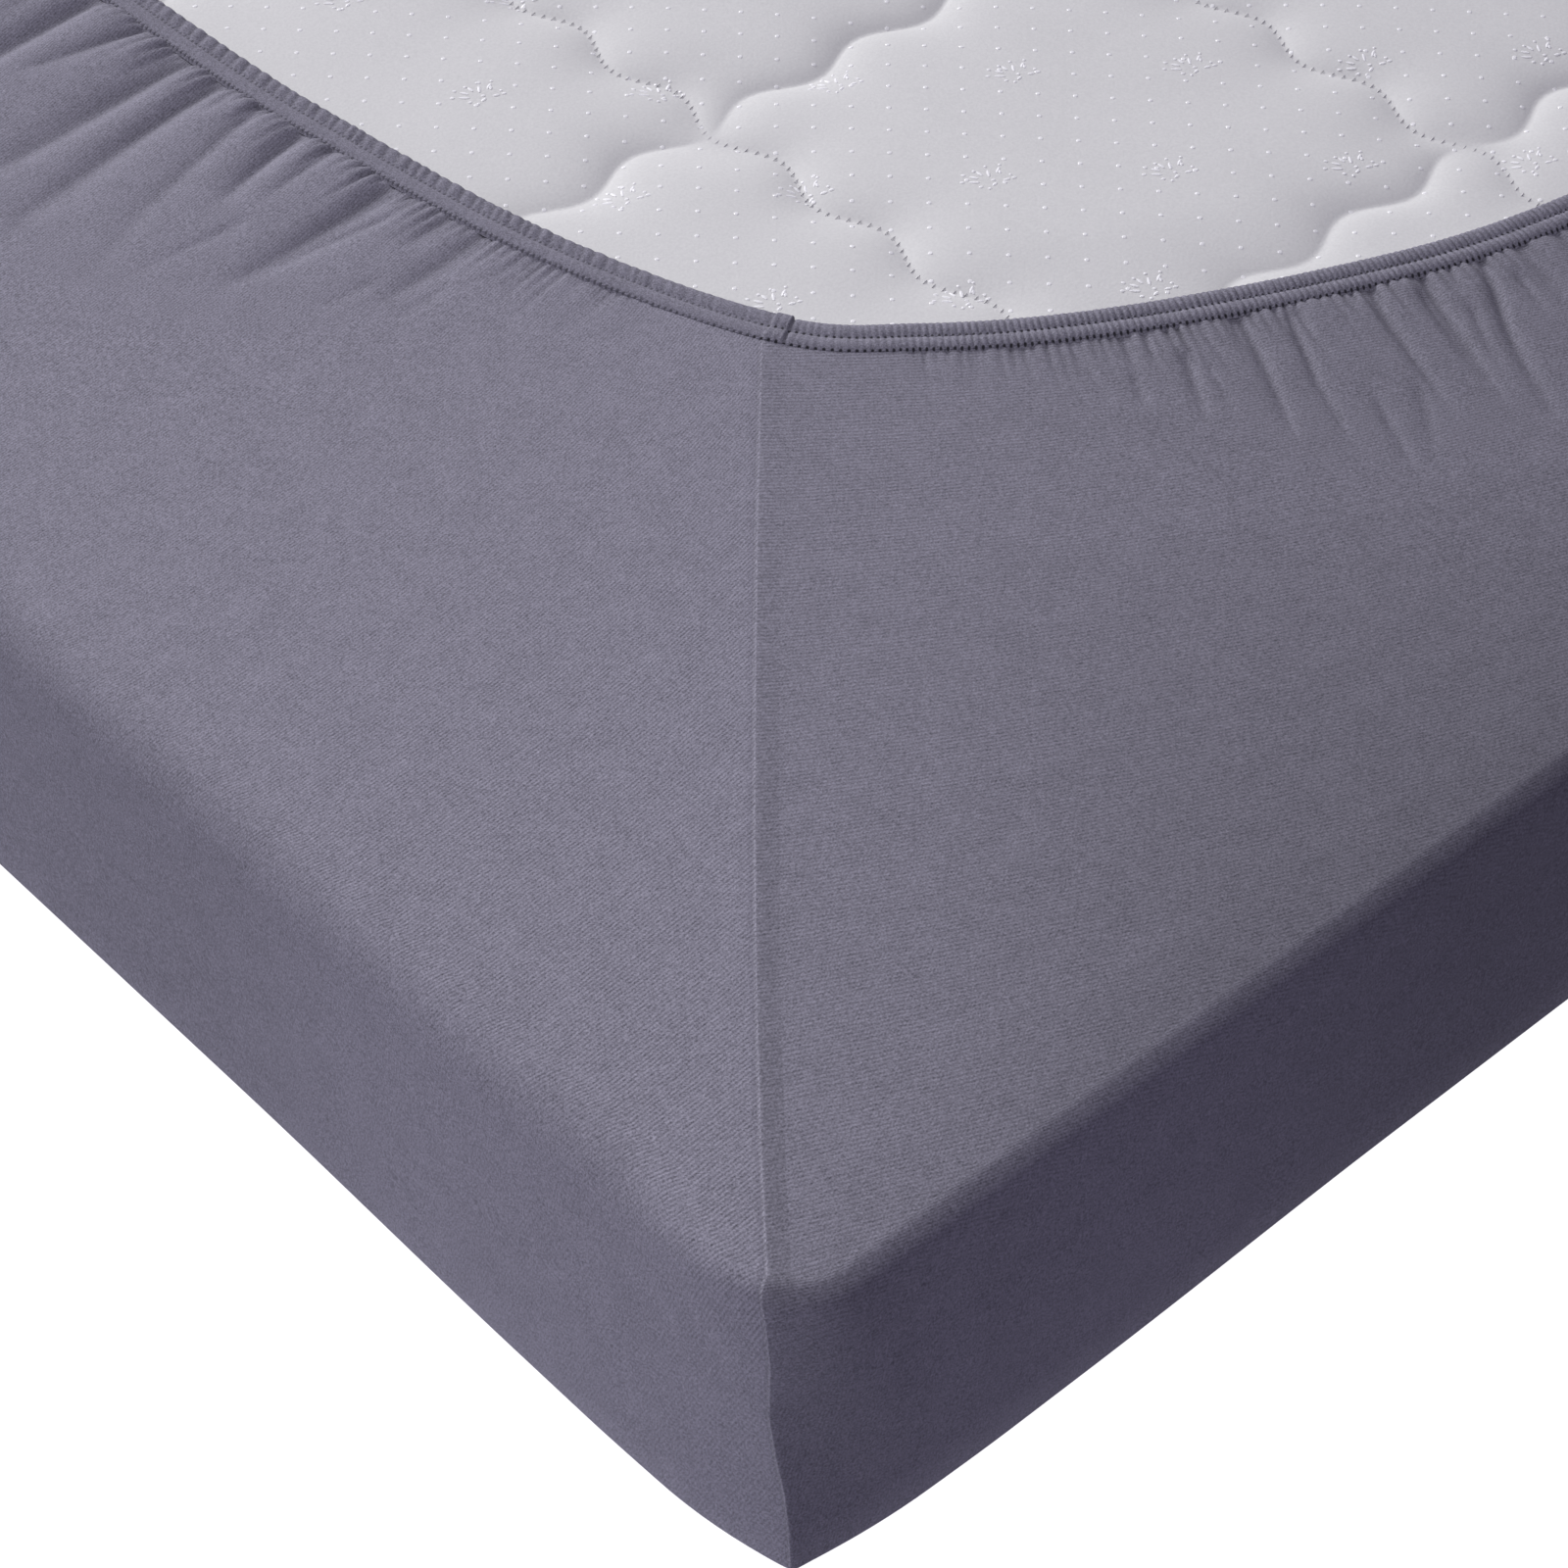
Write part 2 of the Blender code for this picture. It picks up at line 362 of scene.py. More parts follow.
jersey = {
    "dark": (0.129, 0.125, 0.155),
    "light": (0.328, 0.317, 0.386),
    "lines": 0.20,                       # strength of the knitted lines
    "waver": 0.7,                        # how far they stray, counted in lines
    "waverScale": 120.0,                 # all scales are spots per metre
    "patches": (1.5, 0.25),              # how much the lines come and go, and what always stays
    "patchScale": 330.0,
    "grain": 1.75,                       # strength of the yarn's fine grain
    "grainSize": 0.50 * mm,
    "fuzz": 0.60,                        # coarser unevenness
    "fuzzSize": 1.1 * mm,
    "mottle": 0.30,                      # the coarsest
    "mottleScale": 90.0,
    "slubScale": 520.0,
    "slubs": (0.86, 0.93),               # only the noise's highest spots show as slubs
    "slubTone": 0.5,
    "roughness": 0.90,
    "specular": 0.2,
    "sheen": 0.06,
    "sheenRoughness": 0.5,
    "bump": 0.06 * mm,
    "creviceShade": 0.55,                     # painted shade: how much darker the cloth is down in a gather
}


def stitchHoles(tree):
    # needle holes between the stitches, darkened with painted shade, from the band's own coordinates
    # in metres
    band = node(tree, "SeparateXYZ", {"Vector": node(tree, "UVMap", uv_map="band").outputs["UV"]})
    turns = math2(tree, "DIVIDE", band.outputs["X"], stitches["pitch"])
    along = math2(tree, "SUBTRACT", math2(tree, "FRACT", math2(tree, "ADD", turns, 0.5)), 0.5)
    along = math2(tree, "MULTIPLY", along, stitches["pitch"] / stitches["holeWide"])
    outside, inside = stitches["holeEdge"]
    total = 0.0
    for row, high, dark in zip(stitches["rows"], stitches["holeHigh"], stitches["holeShade"]):
        off = math2(tree, "DIVIDE", math2(tree, "SUBTRACT", band.outputs["Y"], row), high)
        far = math2(tree, "ADD", math2(tree, "MULTIPLY", along, along),
                    math2(tree, "MULTIPLY", off, off))
        spot = node(tree, "MapRange", {"Value": far, "From Min": outside, "From Max": inside,
                                       "To Max": dark}, interpolation_type="SMOOTHSTEP")
        total = math2(tree, "MAXIMUM", total, spot.outputs[0])
    return math2(tree, "MULTIPLY", total, attribute(tree, "holes"))


def addUnevenness(tree, tone, spots, strength):
    return math2(tree, "MULTIPLY_ADD", math2(tree, "SUBTRACT", spots, 0.5), strength, tone)


def jerseyMaterial(name, holes=False):
    # the "knit" layer counts the cloth's own lines, X along one family and Y along the other
    material, tree, shader = plainMaterial(name, jersey["light"], jersey["roughness"])
    shader.inputs["Sheen Weight"].default_value = jersey["sheen"]
    shader.inputs["Sheen Roughness"].default_value = jersey["sheenRoughness"]
    shader.inputs["Specular IOR Level"].default_value = jersey["specular"]
    place = node(tree, "TexCoord").outputs["Object"]
    knit = node(tree, "UVMap", uv_map="knit").outputs["UV"]
    split = node(tree, "SeparateXYZ", {"Vector": knit})
    drift = noise(tree, place, jersey["waverScale"])
    patchy = noise(tree, place, jersey["patchScale"], detail=1.0)
    tone = 0.5
    for axis, shown in (("X", "lines"), ("Y", "wales")):
        turns = math2(tree, "MULTIPLY_ADD", drift, jersey["waver"], split.outputs[axis])
        wave = math2(tree, "SINE", math2(tree, "MULTIPLY", turns, 2 * math.pi))
        amount = math2(tree, "MULTIPLY_ADD", patchy, *jersey["patches"])
        amount = math2(tree, "MULTIPLY", amount, attribute(tree, shown))
        amount = math2(tree, "MULTIPLY", amount, jersey["lines"])
        tone = math2(tree, "MULTIPLY_ADD", wave, amount, tone)
    grain = noise(tree, place, 1 / jersey["grainSize"], detail=1.0, roughness=0.6)
    tone = addUnevenness(tree, tone, grain, jersey["grain"])
    fuzz = noise(tree, place, 1 / jersey["fuzzSize"], detail=1.0)
    tone = addUnevenness(tree, tone, fuzz, jersey["fuzz"])
    mottle = noise(tree, place, jersey["mottleScale"], detail=3.0, roughness=0.6)
    tone = addUnevenness(tree, tone, mottle, jersey["mottle"])
    low, high = jersey["slubs"]
    slub = noise(tree, place, jersey["slubScale"], detail=0.0)
    fleck = node(tree, "MapRange", {"Value": slub, "From Min": low, "From Max": high,
                                    "To Max": jersey["slubTone"]})
    tone = math2(tree, "ADD", tone, fleck.outputs[0])
    colour = blend(tree, tone, jersey["dark"], jersey["light"], clamp_factor=False)
    deep = math2(tree, "MULTIPLY_ADD", attribute(tree, "creviceShade"), -jersey["creviceShade"], 1.0)
    # painted shade: the face tones, crevices and needle holes darken the base colour
    napAndPaintedShade = math2(tree, "MULTIPLY", attribute(tree, "napAndPaintedShade"), deep)
    if holes:
        napAndPaintedShade = math2(tree, "MULTIPLY", napAndPaintedShade, math2(tree, "SUBTRACT", 1.0, stitchHoles(tree)))
    shade = node(tree, "VectorMath", {0: colour, 3: napAndPaintedShade}, operation="SCALE")
    tree.links.new(shade.outputs[0], shader.inputs["Base Color"])
    addRelief(tree, shader, tone, jersey["bump"])
    return material


slateJersey = jerseyMaterial("slateJersey")
slateCasing = jerseyMaterial("slateCasing", holes=True)


# the cloth of the sheet

cloth = {
    # how far the corner is pulled in by its seam, in millimetres: height, from the long
    # side, from the short end
    "crease": ((0, 6.0, 4.2), (10, 6.6, 5.2), (20, 6.6, 6.1), (30, 6.0, 6.7), (40, 4.9, 7.9),
               (50, 4.0, 9.0), (60, 3.7, 10.1), (70, 4.0, 10.6), (80, 4.9, 10.5), (88, 5.4, 11.0),
               (100, 3.4, 14.4)),
    "usualPull": 8.6 * mm,
    "besideSeam": 8 * mm,                # the columns run straight down beside the seam
    "cornerReach": (40 * mm, 18 * mm),   # at the floor and at the rim
    "reachHeights": (35 * mm, 88 * mm),  # between these it changes
    "bulge": 1.3 * mm,
    "bulgeFrom": (8 * mm, 70 * mm),      # it swells and settles over these distances from the corner
    "bulgeTo": (95 * mm, 210 * mm),
    "rims": (14 * mm, 6 * mm),           # soft edge of the long sides, sharper on the short ends
    "rimCorner": 6 * mm,
    "lean": (1.6 * mm, 2.2 * mm),        # how far the long and short sides lean in at the rim
    "leanHeights": (40 * mm, 98 * mm),
    "floorEdge": 1.5 * mm,
    "seamBow": (-2.6 * mm, 4.6 * mm),
    "seamRidge": 0.24 * mm,
    "seamWidth": 6.5 * mm,
    "shortEndTone": 0.875,               # the short ends' panels are painted darker, standing in for how their nap takes the light
    # by the seam: the allowance darker near the rim, partly painted shadow and partly its own knit,
    # and painted shade in the groove beside it
    "seamStripDark": 0.12,
    "besideSeamShade": 0.86,
    # painted shade away from the corner, what is lost: share, and distances where that starts and
    # ends
    "endTopFade": (0.09, 0.06, 0.26),
    "endRimFade": (0.23, 0.0, 0.16),
    "longSideFade": (0.13, 0.12, 0.23),
    "shortSideFade": (0.34, 0.09, 0.26),
    "shortSideLift": 0.06,               # painted light: the short side is lighter
    "offCornerLift": (0.11, 0.01, 0.05),   # painted light, most of all just off the corner
    "farEndTone": 0.92,                  # the end that the photograph doesn't show is even
}

# pairs are for the long side and the short end, lengths in millimetres
folds = {
    "puff": (3.0, 1.3),                  # how far the cloth billows between its gathers
    "puffFrom": (60, 170),               # growing over these distances from the seam
    "fallWide": 1.1,                     # the listed widths are widened by these
    "climbWide": (1.9, 1.25),
    "deeper": (1.15, 1.3),               # and the listed depths deepened
    "pinch": (2.0, 1.6),                 # depth of the elastic's short puckers
    "lowest": 1.5,                       # no fold sinks further below the flat cloth
}

# Gathers of the photographed corner in millimetres: depth, how wide the fall into it is,
# how wide the rise out of it, and its path as places along the hem (negative on the long
# side) and distances out
longSideGathers = (
    (4.5, 4.6, 2.2, (-258.5, 0), (-258.3, 5), (-255.5, 37), (-252, 80)),
    (2.4, 3.5, 2.0, (-236.5, 0), (-236.5, 8), (-239, 26), (-243, 46)),
    (1.3, 1.6, 1.2, (-233.0, 0), (-233.0, 8)),
    (3.9, 6.0, 2.2, (-214.8, 0), (-212.5, 20), (-210.5, 50), (-209, 92)),
    (1.4, 3.0, 1.5, (-221.0, 0), (-220.0, 24)),
    (3.7, 4.2, 2.4, (-198.3, 0), (-196.5, 20), (-194, 40), (-191.5, 58), (-187, 96)),
    (1.0, 1.0, 0.8, (-189.8, 5), (-189.5, 19)),
    (2.2, 1.8, 1.2, (-180.3, 0), (-179.3, 6), (-177.8, 15)),
    (1.4, 4.5, 1.6, (-179.0, 8), (-175.5, 25), (-172, 42), (-170, 55), (-160, 88)),
    (3.8, 3.8, 1.8, (-163.0, 0), (-160.8, 16), (-158, 30), (-154.5, 44)),
    (1.8, 2.4, 1.4, (-149.0, 0), (-148, 14), (-146, 34)),
    (3.4, 3.4, 3.0, (-125.5, 0), (-124.5, 20), (-125, 45), (-127, 68)),
    (1.4, 1.6, 1.6, (-117.0, 0), (-116.5, 9)),
    (0.9, 1.4, 1.0, (-115.0, 13), (-119.5, 34), (-126, 66)),
    (2.0, 2.6, 2.4, (-103.0, 0), (-102.5, 22)),
    (2.3, 3.0, 2.0, (-90.0, 0), (-90, 22), (-92, 46)),
    (0.8, 1.2, 1.2, (-80.0, 0), (-80, 9)), (0.8, 1.2, 1.2, (-74.0, 0), (-74, 13)),
    (0.7, 1.1, 1.1, (-65.0, 0), (-64, 13)), (0.7, 1.1, 1.1, (-56.0, 0), (-55, 13)),
    (0.5, 1.1, 1.1, (-47.0, 0), (-46, 10)), (0.5, 2.5, 1.2, (-98.5, 36), (-103, 64)),
    (0.5, 2.0, 1.2, (-83.0, 28), (-84, 50)), (0.6, 1.6, 1.2, (-143.0, 44), (-150, 84)),
)
shortEndGathers = (
    (0.5, 0.9, 0.8, (55.0, 0), (54.6, 14)), (0.5, 0.9, 0.8, (66.0, 0), (66.0, 12)),
    (0.6, 0.9, 0.8, (80.0, 2), (82.4, 16), (84.4, 31)), (1.3, 1.0, 0.8, (94.6, 0), (94.2, 18)),
    (1.2, 1.0, 0.8, (101.2, 0), (100.2, 16)), (0.8, 1.2, 1.0, (92.8, 19), (92.4, 34)),
    (1.4, 1.6, 1.1, (108.8, 14), (106.5, 34), (104.8, 45)), (0.8, 0.9, 0.8, (106.5, 0), (106.5, 8)),
    (0.5, 1.4, 1.2, (113.0, 18), (113.0, 48)), (0.7, 0.9, 0.8, (116.2, 1), (118.4, 28)),
    (1.4, 1.0, 0.8, (126.2, 0), (125.0, 17)),
    (2.4, 1.7, 1.0, (128.6, 0), (127.6, 26), (126.2, 42), (124.2, 56)),
    (1.1, 0.9, 0.8, (139.0, 0), (139.0, 11)),
    (1.6, 1.5, 1.0, (142.0, 4), (140.2, 22), (138.2, 36), (137.6, 64)),
    (1.2, 1.0, 0.8, (144.6, 4), (144.6, 18), (146.2, 29)), (1.0, 0.9, 0.8, (162.0, 0), (161.4, 9)),
    (2.2, 1.7, 1.1, (168.3, 0), (166.8, 16), (166.0, 58)),
    (0.9, 1.2, 0.9, (150.0, 48), (147.5, 82)), (0.9, 1.4, 1.0, (162.5, 46), (158, 62), (152, 80)),
    (2.6, 1.9, 1.1, (184.6, 0), (183.0, 12), (182.0, 26), (180.2, 58)),
    (0.9, 1.6, 1.2, (180.5, 8), (179.0, 48)), (1.1, 1.0, 0.8, (192.6, 0), (191.2, 14)),
    (2.2, 1.6, 1.0, (203.2, 0), (200.4, 12), (197.2, 22), (194.2, 32), (191.4, 46), (187.8, 74)),
    (0.8, 1.3, 0.9, (190.0, 20), (187.0, 34), (184.2, 50)),
    (1.0, 1.4, 1.0, (208.0, 12), (205.6, 32)), (1.6, 1.8, 1.2, (216.0, 0), (212.0, 34)),
    (1.8, 1.9, 1.2, (229.0, 0), (224.0, 48)), (1.4, 1.8, 1.2, (243.0, 0), (239.0, 28)),
    (2.0, 2.0, 1.3, (257.0, 0), (252.0, 54)), (1.5, 1.8, 1.2, (272.0, 0), (268.0, 34)),
)


def unseenGathers(seed, first, last, gap, width):
    # uneven gathers for the hem that the photograph doesn't show
    draw = np.random.default_rng(seed)
    rows = []
    place = first + gap[0] * 0.5
    while place < last:
        lean = draw.uniform(-6, 6)
        wide = draw.uniform(*width)
        rows.append((draw.uniform(1.2, 3.8), wide, 0.6 * wide, (place, 0),
                     (place + lean, draw.uniform(26, 84))))
        place += draw.uniform(*gap)
    return rows


def quarterGathers(quarter):
    farLong, nearSeam = -longRun / mm + 12, -70
    if quarter == photoQuarter:
        unseen = unseenGathers(20, farLong, -270, (10, 22), (3.6, 5.2))
        return list(longSideGathers) + list(shortEndGathers) + unseen
    rows = unseenGathers(30 + quarter, farLong, nearSeam, (10, 22), (4.2, 6.0))
    return rows + unseenGathers(60 + quarter, 66, shortRun / mm - 12, (11, 22), (3.8, 5.0))


gathers = [quarterGathers(quarter) for quarter in range(4)]


def notchRow(seed, first, last, pitch):
    draw = np.random.default_rng(seed)
    places = [first]
    while places[-1] < last:
        places.append(places[-1] + pitch * draw.uniform(0.75, 1.25))
    places = np.array(places)
    return places, draw.uniform(0.35, 1.0, len(places)), draw.uniform(2.5, 12, len(places))


def notches(s, out, quarter):
    # the short puckers that the elastic's stitches send into the cloth
    total = np.zeros(np.broadcast(s, out).shape)
    along = s / mm
    spans = ((-longRun / mm, -150, 4.6), (-150, -90, 4.0), (-90, -24, 3.4), (18, 110, 3.2),
             (110, shortRun / mm, 3.6))
    for number, (first, last, pitch) in enumerate(spans):
        places, sizes, reaches = notchRow(200 + 10 * quarter + number, first, last, pitch)
        nearest = np.clip(np.searchsorted(places, along), 1, len(places) - 1)
        inside = (along >= first - 1) & (along < last + 1)
        for shift in (-1, 0):
            pick = nearest + shift
            wide = pitch * 0.20 + 0.1
            gap = np.abs(along - places[pick]) / wide
            fade = np.exp(-(np.maximum(out / mm - 0.4, 0) / reaches[pick]) ** 1.3)
            total += np.where(inside, sizes[pick] * np.exp(-gap ** 1.5) * fade, 0.0)
    return total * smooth(np.abs(s), 15 * mm, 62 * mm)


def gatherHeight(s, out, quarter):
    # how far the cloth stands above the flat, s along the hem and out from its stitches, and how much
    # painted shade lies down in its gathers and puckers
    along, far = s / mm, out / mm
    puff = bySide(s, folds["puff"]) * smooth(np.abs(along), *folds["puffFrom"])
    rise = puff * (1 - np.exp(-far / 2.2)) * np.exp(-(far / 60) ** 1.7)
    deep = np.zeros_like(rise)
    for depth, fall, climb, *path in gathers[quarter]:
        places, outs = np.array(path, float).T
        near, reach = outs[0], outs[-1]
        centre = np.interp(far, outs, places)
        share = np.clip((far - near) / (reach - near), 0, 1)
        begins = smooth(far, near - 4, near + 5) if near else 1 - np.exp(-(far + 1.0) / 1.6)
        fade = begins * (1 - share) ** 0.7
        side = 0 if places[0] < 0 else 1
        gap = along - centre
        gap = np.where(gap < 0, -gap / (folds["fallWide"] * fall),
                       gap / (folds["climbWide"][side] * climb))
        shape = np.exp(-gap ** 1.25) * fade
        rise = rise - depth * folds["deeper"][side] * shape
        # painted shade down in the valley of each gather
        deep = np.maximum(deep, np.exp(-(gap / 0.55) ** 2) * fade * min(1.0, depth / 2.5))
    cuts = notches(s, out, quarter)
    rise = rise - cuts * bySide(s, folds["pinch"])
    deep = np.maximum(deep * 0.6, np.clip(cuts, 0, 1))
    lowest = folds["lowest"]
    rise = np.where(rise < 0, -lowest * (1 - np.exp(rise / lowest)), rise)
    return rise * mm, deep


def alongSide(s):
    # distance from the corner crease along the side, as a share of the half side
    straight = cloth["besideSeam"]
    far = np.maximum(np.abs(s) - straight, 0)

    def share(half, run, soon):
        span = half - cloth["usualPull"]
        grown = (span - run) * (1 - np.exp(-far / soon)) / (1 - np.exp(-(run - straight) / soon))
        return (np.abs(s) + grown) / span

    return bySide(s, (share(halfLength, longRun, 0.16), share(halfWidth, shortRun, 0.20)))


def fromCorner(s):
    return alongSide(s) * bySide(s, (halfLength, halfWidth))


def outline(s, height, inset):
    # plan of the sheet at one height, moved in by inset and mitred at the corner crease
    share = alongSide(s)
    heights, pulledU, pulledV = np.array(cloth["crease"], float).T * mm
    creaseU = np.interp(height, heights, pulledU)
    creaseV = np.interp(height, heights, pulledV)
    low, high = cloth["cornerReach"]
    reach = low + (high - low) * smooth(height, *cloth["reachHeights"])
    onLong = s < 0
    fromCrease = share * bySide(s, (halfLength - creaseV, halfWidth - creaseU))
    left = np.clip(1 - fromCrease / reach, 0, 1)
    lean = smooth(height, *cloth["leanHeights"])
    leanU, leanV = [part * lean for part in cloth["lean"]]
    bendU, bendV = creaseU - leanU, creaseV - leanV
    slopeLong = np.arctan(2 * bendU / reach)
    slopeShort = np.arctan(2 * bendV / reach)
    # the mitre's offset keeps both panels' planes
    a, b, c, d = np.cos(slopeLong), np.sin(slopeLong), np.sin(slopeShort), np.cos(slopeShort)
    mitreU = (d - b) / (a * d - b * c)
    mitreV = (a - c) / (a * d - b * c)
    turned = np.arctan(2 * bySide(s, (bendU, bendV)) / reach * left)
    side = bySide(s, (mitreV, mitreU)) * left ** 1.5
    inward = (1 - side * np.sin(turned)) / np.cos(turned)
    upTheSide = min(1.0, 0.35 + 0.65 * height / clothTop)
    swell = cloth["bulge"] * smooth(fromCrease, *cloth["bulgeFrom"])
    swell = swell * (1 - smooth(fromCrease, *cloth["bulgeTo"])) * math.sin(math.pi * upTheSide)
    u = np.where(onLong, leanU + bendU * left ** 2 - swell, creaseU + fromCrease)
    v = np.where(onLong, creaseV + fromCrease, leanV + bendV * left ** 2 - swell)
    u = u + inset * np.where(onLong, inward, side)
    v = v + inset * np.where(onLong, side, inward)
    return np.stack((u, v), -1)


sideLevels = 26


def sidePlan(s, height, inset):
    # the same where the height differs from column to column
    levels = np.linspace(0, clothTop, sideLevels)
    plans = np.array([outline(s, level, 0.0) for level in levels])
    insets = np.array([outline(s, level, 1.0) for level in levels]) - plans
    at = np.broadcast_to(height, s.shape) / clothTop * (sideLevels - 1)
    at = np.clip(at, 0, sideLevels - 1.001)
    low = at.astype(int)
    share = (at - low)[:, None]
    column = np.arange(len(s))
    plan = plans[low, column] * (1 - share) + plans[low + 1, column] * share
    inwards = insets[low, column] * (1 - share) + insets[low + 1, column] * share
    return plan + inwards * np.broadcast_to(inset, s.shape)[:, None]


def rimRadius(s):
    share = smooth(fromCorner(s), 0.0, 55 * mm)
    return cloth["rimCorner"] + (bySide(s, cloth["rims"]) - cloth["rimCorner"]) * share


def seamHeight(s):
    # the seam allowance lies to the short end's side and ends in a soft step
    offset = s / mm
    ridge = np.where(offset >= 0, 1 - smooth(offset, 0.3, 6.5), 1 - smooth(-offset, 0.0, 1.4))
    groove = np.exp(-((offset + 1.3) / 0.7) ** 2)
    return cloth["seamRidge"] * ridge - 0.15 * mm * groove


nearSeam = np.array((-8, -6, -4.5, -3.2, -2.3, -1.6, -1.1, -0.6, -0.2, 0.3, 0.9, 1.6, 2.5,
                     3.5, 4.7, 6, 7.5)) * mm


def evenPlaces(first, last, pitch):
    return np.linspace(first, last, int((last - first) / pitch))


def columnPlaces(quarter):
    # columns along the hem, closest where the photograph shows fine gathers
    plain, close, middling = 4.3 * mm, 1.9 * mm, 40 * mm
    beside = [np.arange(-middling, -9 * mm, close), nearSeam, np.arange(9 * mm, middling, close)]
    if quarter != photoQuarter:
        return np.concatenate([evenPlaces(-longRun, -middling, plain)[:-1], *beside,
                               evenPlaces(middling, shortRun, plain)])
    longSeen, shortSeen = 275 * mm, 212 * mm
    return np.concatenate([evenPlaces(-longRun, -longSeen, plain)[:-1],
                           np.arange(-longSeen, -60 * mm, 0.95 * mm),
                           np.arange(-60 * mm, -middling, 1.4 * mm), *beside,
                           np.arange(middling, shortSeen, 0.7 * mm),
                           evenPlaces(shortSeen, shortRun, 2.0 * mm)])


innerSteps = np.concatenate((np.array((0, 0.5, 1.1, 1.9, 2.9, 4.2, 5.7)), np.arange(7.4, 40, 2.1),
                             np.arange(41, 96, 5.0))) * mm
outerSteps = 7                           # rows from the rim to the first of the inner steps
footTurns = (0, 45, 90)
sideShares = (0.15, 0.30, 0.45, 0.62, 0.81)
rimRows = 8
sideRows = len(footTurns) + len(sideShares)


def quarterSurface(s, quarter):
    # rows from the floor, up the side, over the rim and in to the hem's stitches
    rows, knitRows = [], []
    rim = rimRadius(s)
    foot = cloth["floorEdge"]
    ridge = seamHeight(s)

    def addRow(plan, height, push, below, deep=0.0):
        u, v = plan[..., 0], plan[..., 1]
        x, y = toPlan(u + push[0], v + push[1], quarter)
        rows.append(np.stack((x, y, np.broadcast_to(height, x.shape)), -1))
        knitRows.append((u, v, below + 0.0 * u, deep + 0.0 * u))

    outward = outline(s, clothTop, 0.0) - outline(s, clothTop, 1.0)
    outward = outward / np.linalg.norm(outward, axis=-1, keepdims=True)
    for turn in np.radians(footTurns):
        height = foot * (1 - math.cos(turn))
        plan = outline(s, height, foot * (1 - math.sin(turn)))
        push = (outward * (ridge * math.sin(turn))[..., None]).T
        addRow(plan, height, push, clothTop - height)
    for share in sideShares:
        height = foot + (clothTop - rim - foot) * share
        plan = sidePlan(s, height, 0.0)
        addRow(plan, height, (outward * ridge[..., None]).T, clothTop - height)
    for turn in np.radians(np.linspace(0, 90, rimRows)):
        height = clothTop - rim * (1 - math.sin(turn))
        plan = sidePlan(s, height, rim * (1 - math.cos(turn)))
        push = (outward * (ridge * math.cos(turn))[..., None]).T
        addRow(plan, height + ridge * math.sin(turn), push, rim * (math.pi / 2 - turn))

    start = outline(s, clothTop, rim)
    normal = hemOutward(s, quarter)
    end = hemAt(s, quarter) + normal * hem["width"]
    # the gathers run straight out from the hem as far as the knee, then bend to the rim
    gap = np.linalg.norm(end - start, axis=-1, keepdims=True)
    share = smooth(np.abs(s), 8 * mm, 95 * mm)[..., None]
    knee = end + normal * np.minimum(80 * mm, 0.42 * gap) * share
    free = knee + normal * gap * 0.20
    seamSide = start + 0.32 * (end - start) + np.array(cloth["seamBow"])
    control = seamSide + (free - seamSide) * share
    ts = np.linspace(0, 1, 61)[:, None, None]
    curve = (1 - ts) ** 2 * start + 2 * ts * (1 - ts) * control + ts ** 2 * knee
    straight = knee + np.linspace(0.05, 1, 20)[:, None, None] * (end - knee)
    curve = np.concatenate((curve, straight))
    pieces = np.linalg.norm(np.diff(curve, axis=0), axis=-1)
    run = np.concatenate((np.zeros((1, len(s))), np.cumsum(pieces, axis=0)))
    for step in range(1, outerSteps + len(innerSteps)):
        plan = np.empty((len(s), 2))
        out = np.empty(len(s))
        for column in range(len(s)):
            length = run[-1, column]
            if step < outerSteps:
                out[column] = length - (length - innerSteps[-1]) * step / outerSteps
            else:
                out[column] = innerSteps[len(innerSteps) - 1 - (step - outerSteps)]
            for axis in (0, 1):
                plan[column, axis] = np.interp(length - out[column], run[:, column],
                                               curve[:, column, axis])
        rise, deep = gatherHeight(s, out, quarter)
        seamFade = smooth(out, 0, 4 * mm) * 0.7 + 0.3
        addRow(plan, clothTop + rise + ridge * seamFade, (0.0, 0.0), 0.0, deep)
    # the cloth tucks under the casing, in full painted shade
    addRow(end + normal * -1.2 * mm, clothTop - 0.9 * mm + 0.0 * s, (0.0, 0.0), 0.0, 1.0)
    return np.array(rows), knitRows


# how the knitted lines run, as counts of lines over the plan in units of 0.2 m: terms in
# u, v, uu, uv, vv, uuu, uuv, uvv, vvv
lineCounts = {
    True: (7.7, -165.9, 10.4, -3.2, -11.9, 10.2, 1.2, 4.4, -2.1),
    False: (-57.9, -147.4, -12.4, -3.9, 11.3, 5.6, -6.9, -2.1, 6.5),
}


def countLines(u, v, longPanel):
    a, b, c, d, e, f, g, h, i = lineCounts[longPanel]
    u, v = u / 0.2, v / 0.2
    p, q = np.clip(u, 0, 1.6), np.clip(v, 0, 1.7)
    count = (a * p + b * q + c * p * p + d * p * q + e * q * q + f * p ** 3 + g * p * p * q
             + h * p * q * q + i * q ** 3)
    acrossU = a + 2 * c * p + d * q + 3 * f * p * p + 2 * g * p * q + h * q * q
    acrossV = b + d * p + 2 * e * q + g * p * p + 2 * h * p * q + 3 * i * q * q
    return count + acrossU * (u - p) + acrossV * (v - q)


def knitCoordinates(u, v, below, longPanel):
    x = countLines(u, v, longPanel)
    if longPanel:
        return np.stack((x + below / mm * 0.37, (u - below) / mm), -1)
    over = smooth(below, 0, 12 * mm)
    y = (0.5 * u - 1.05 * v) / mm * (1 - over) + (u + 0.25 * below) / mm * over
    return np.stack((x + below / mm * 0.72, y), -1)


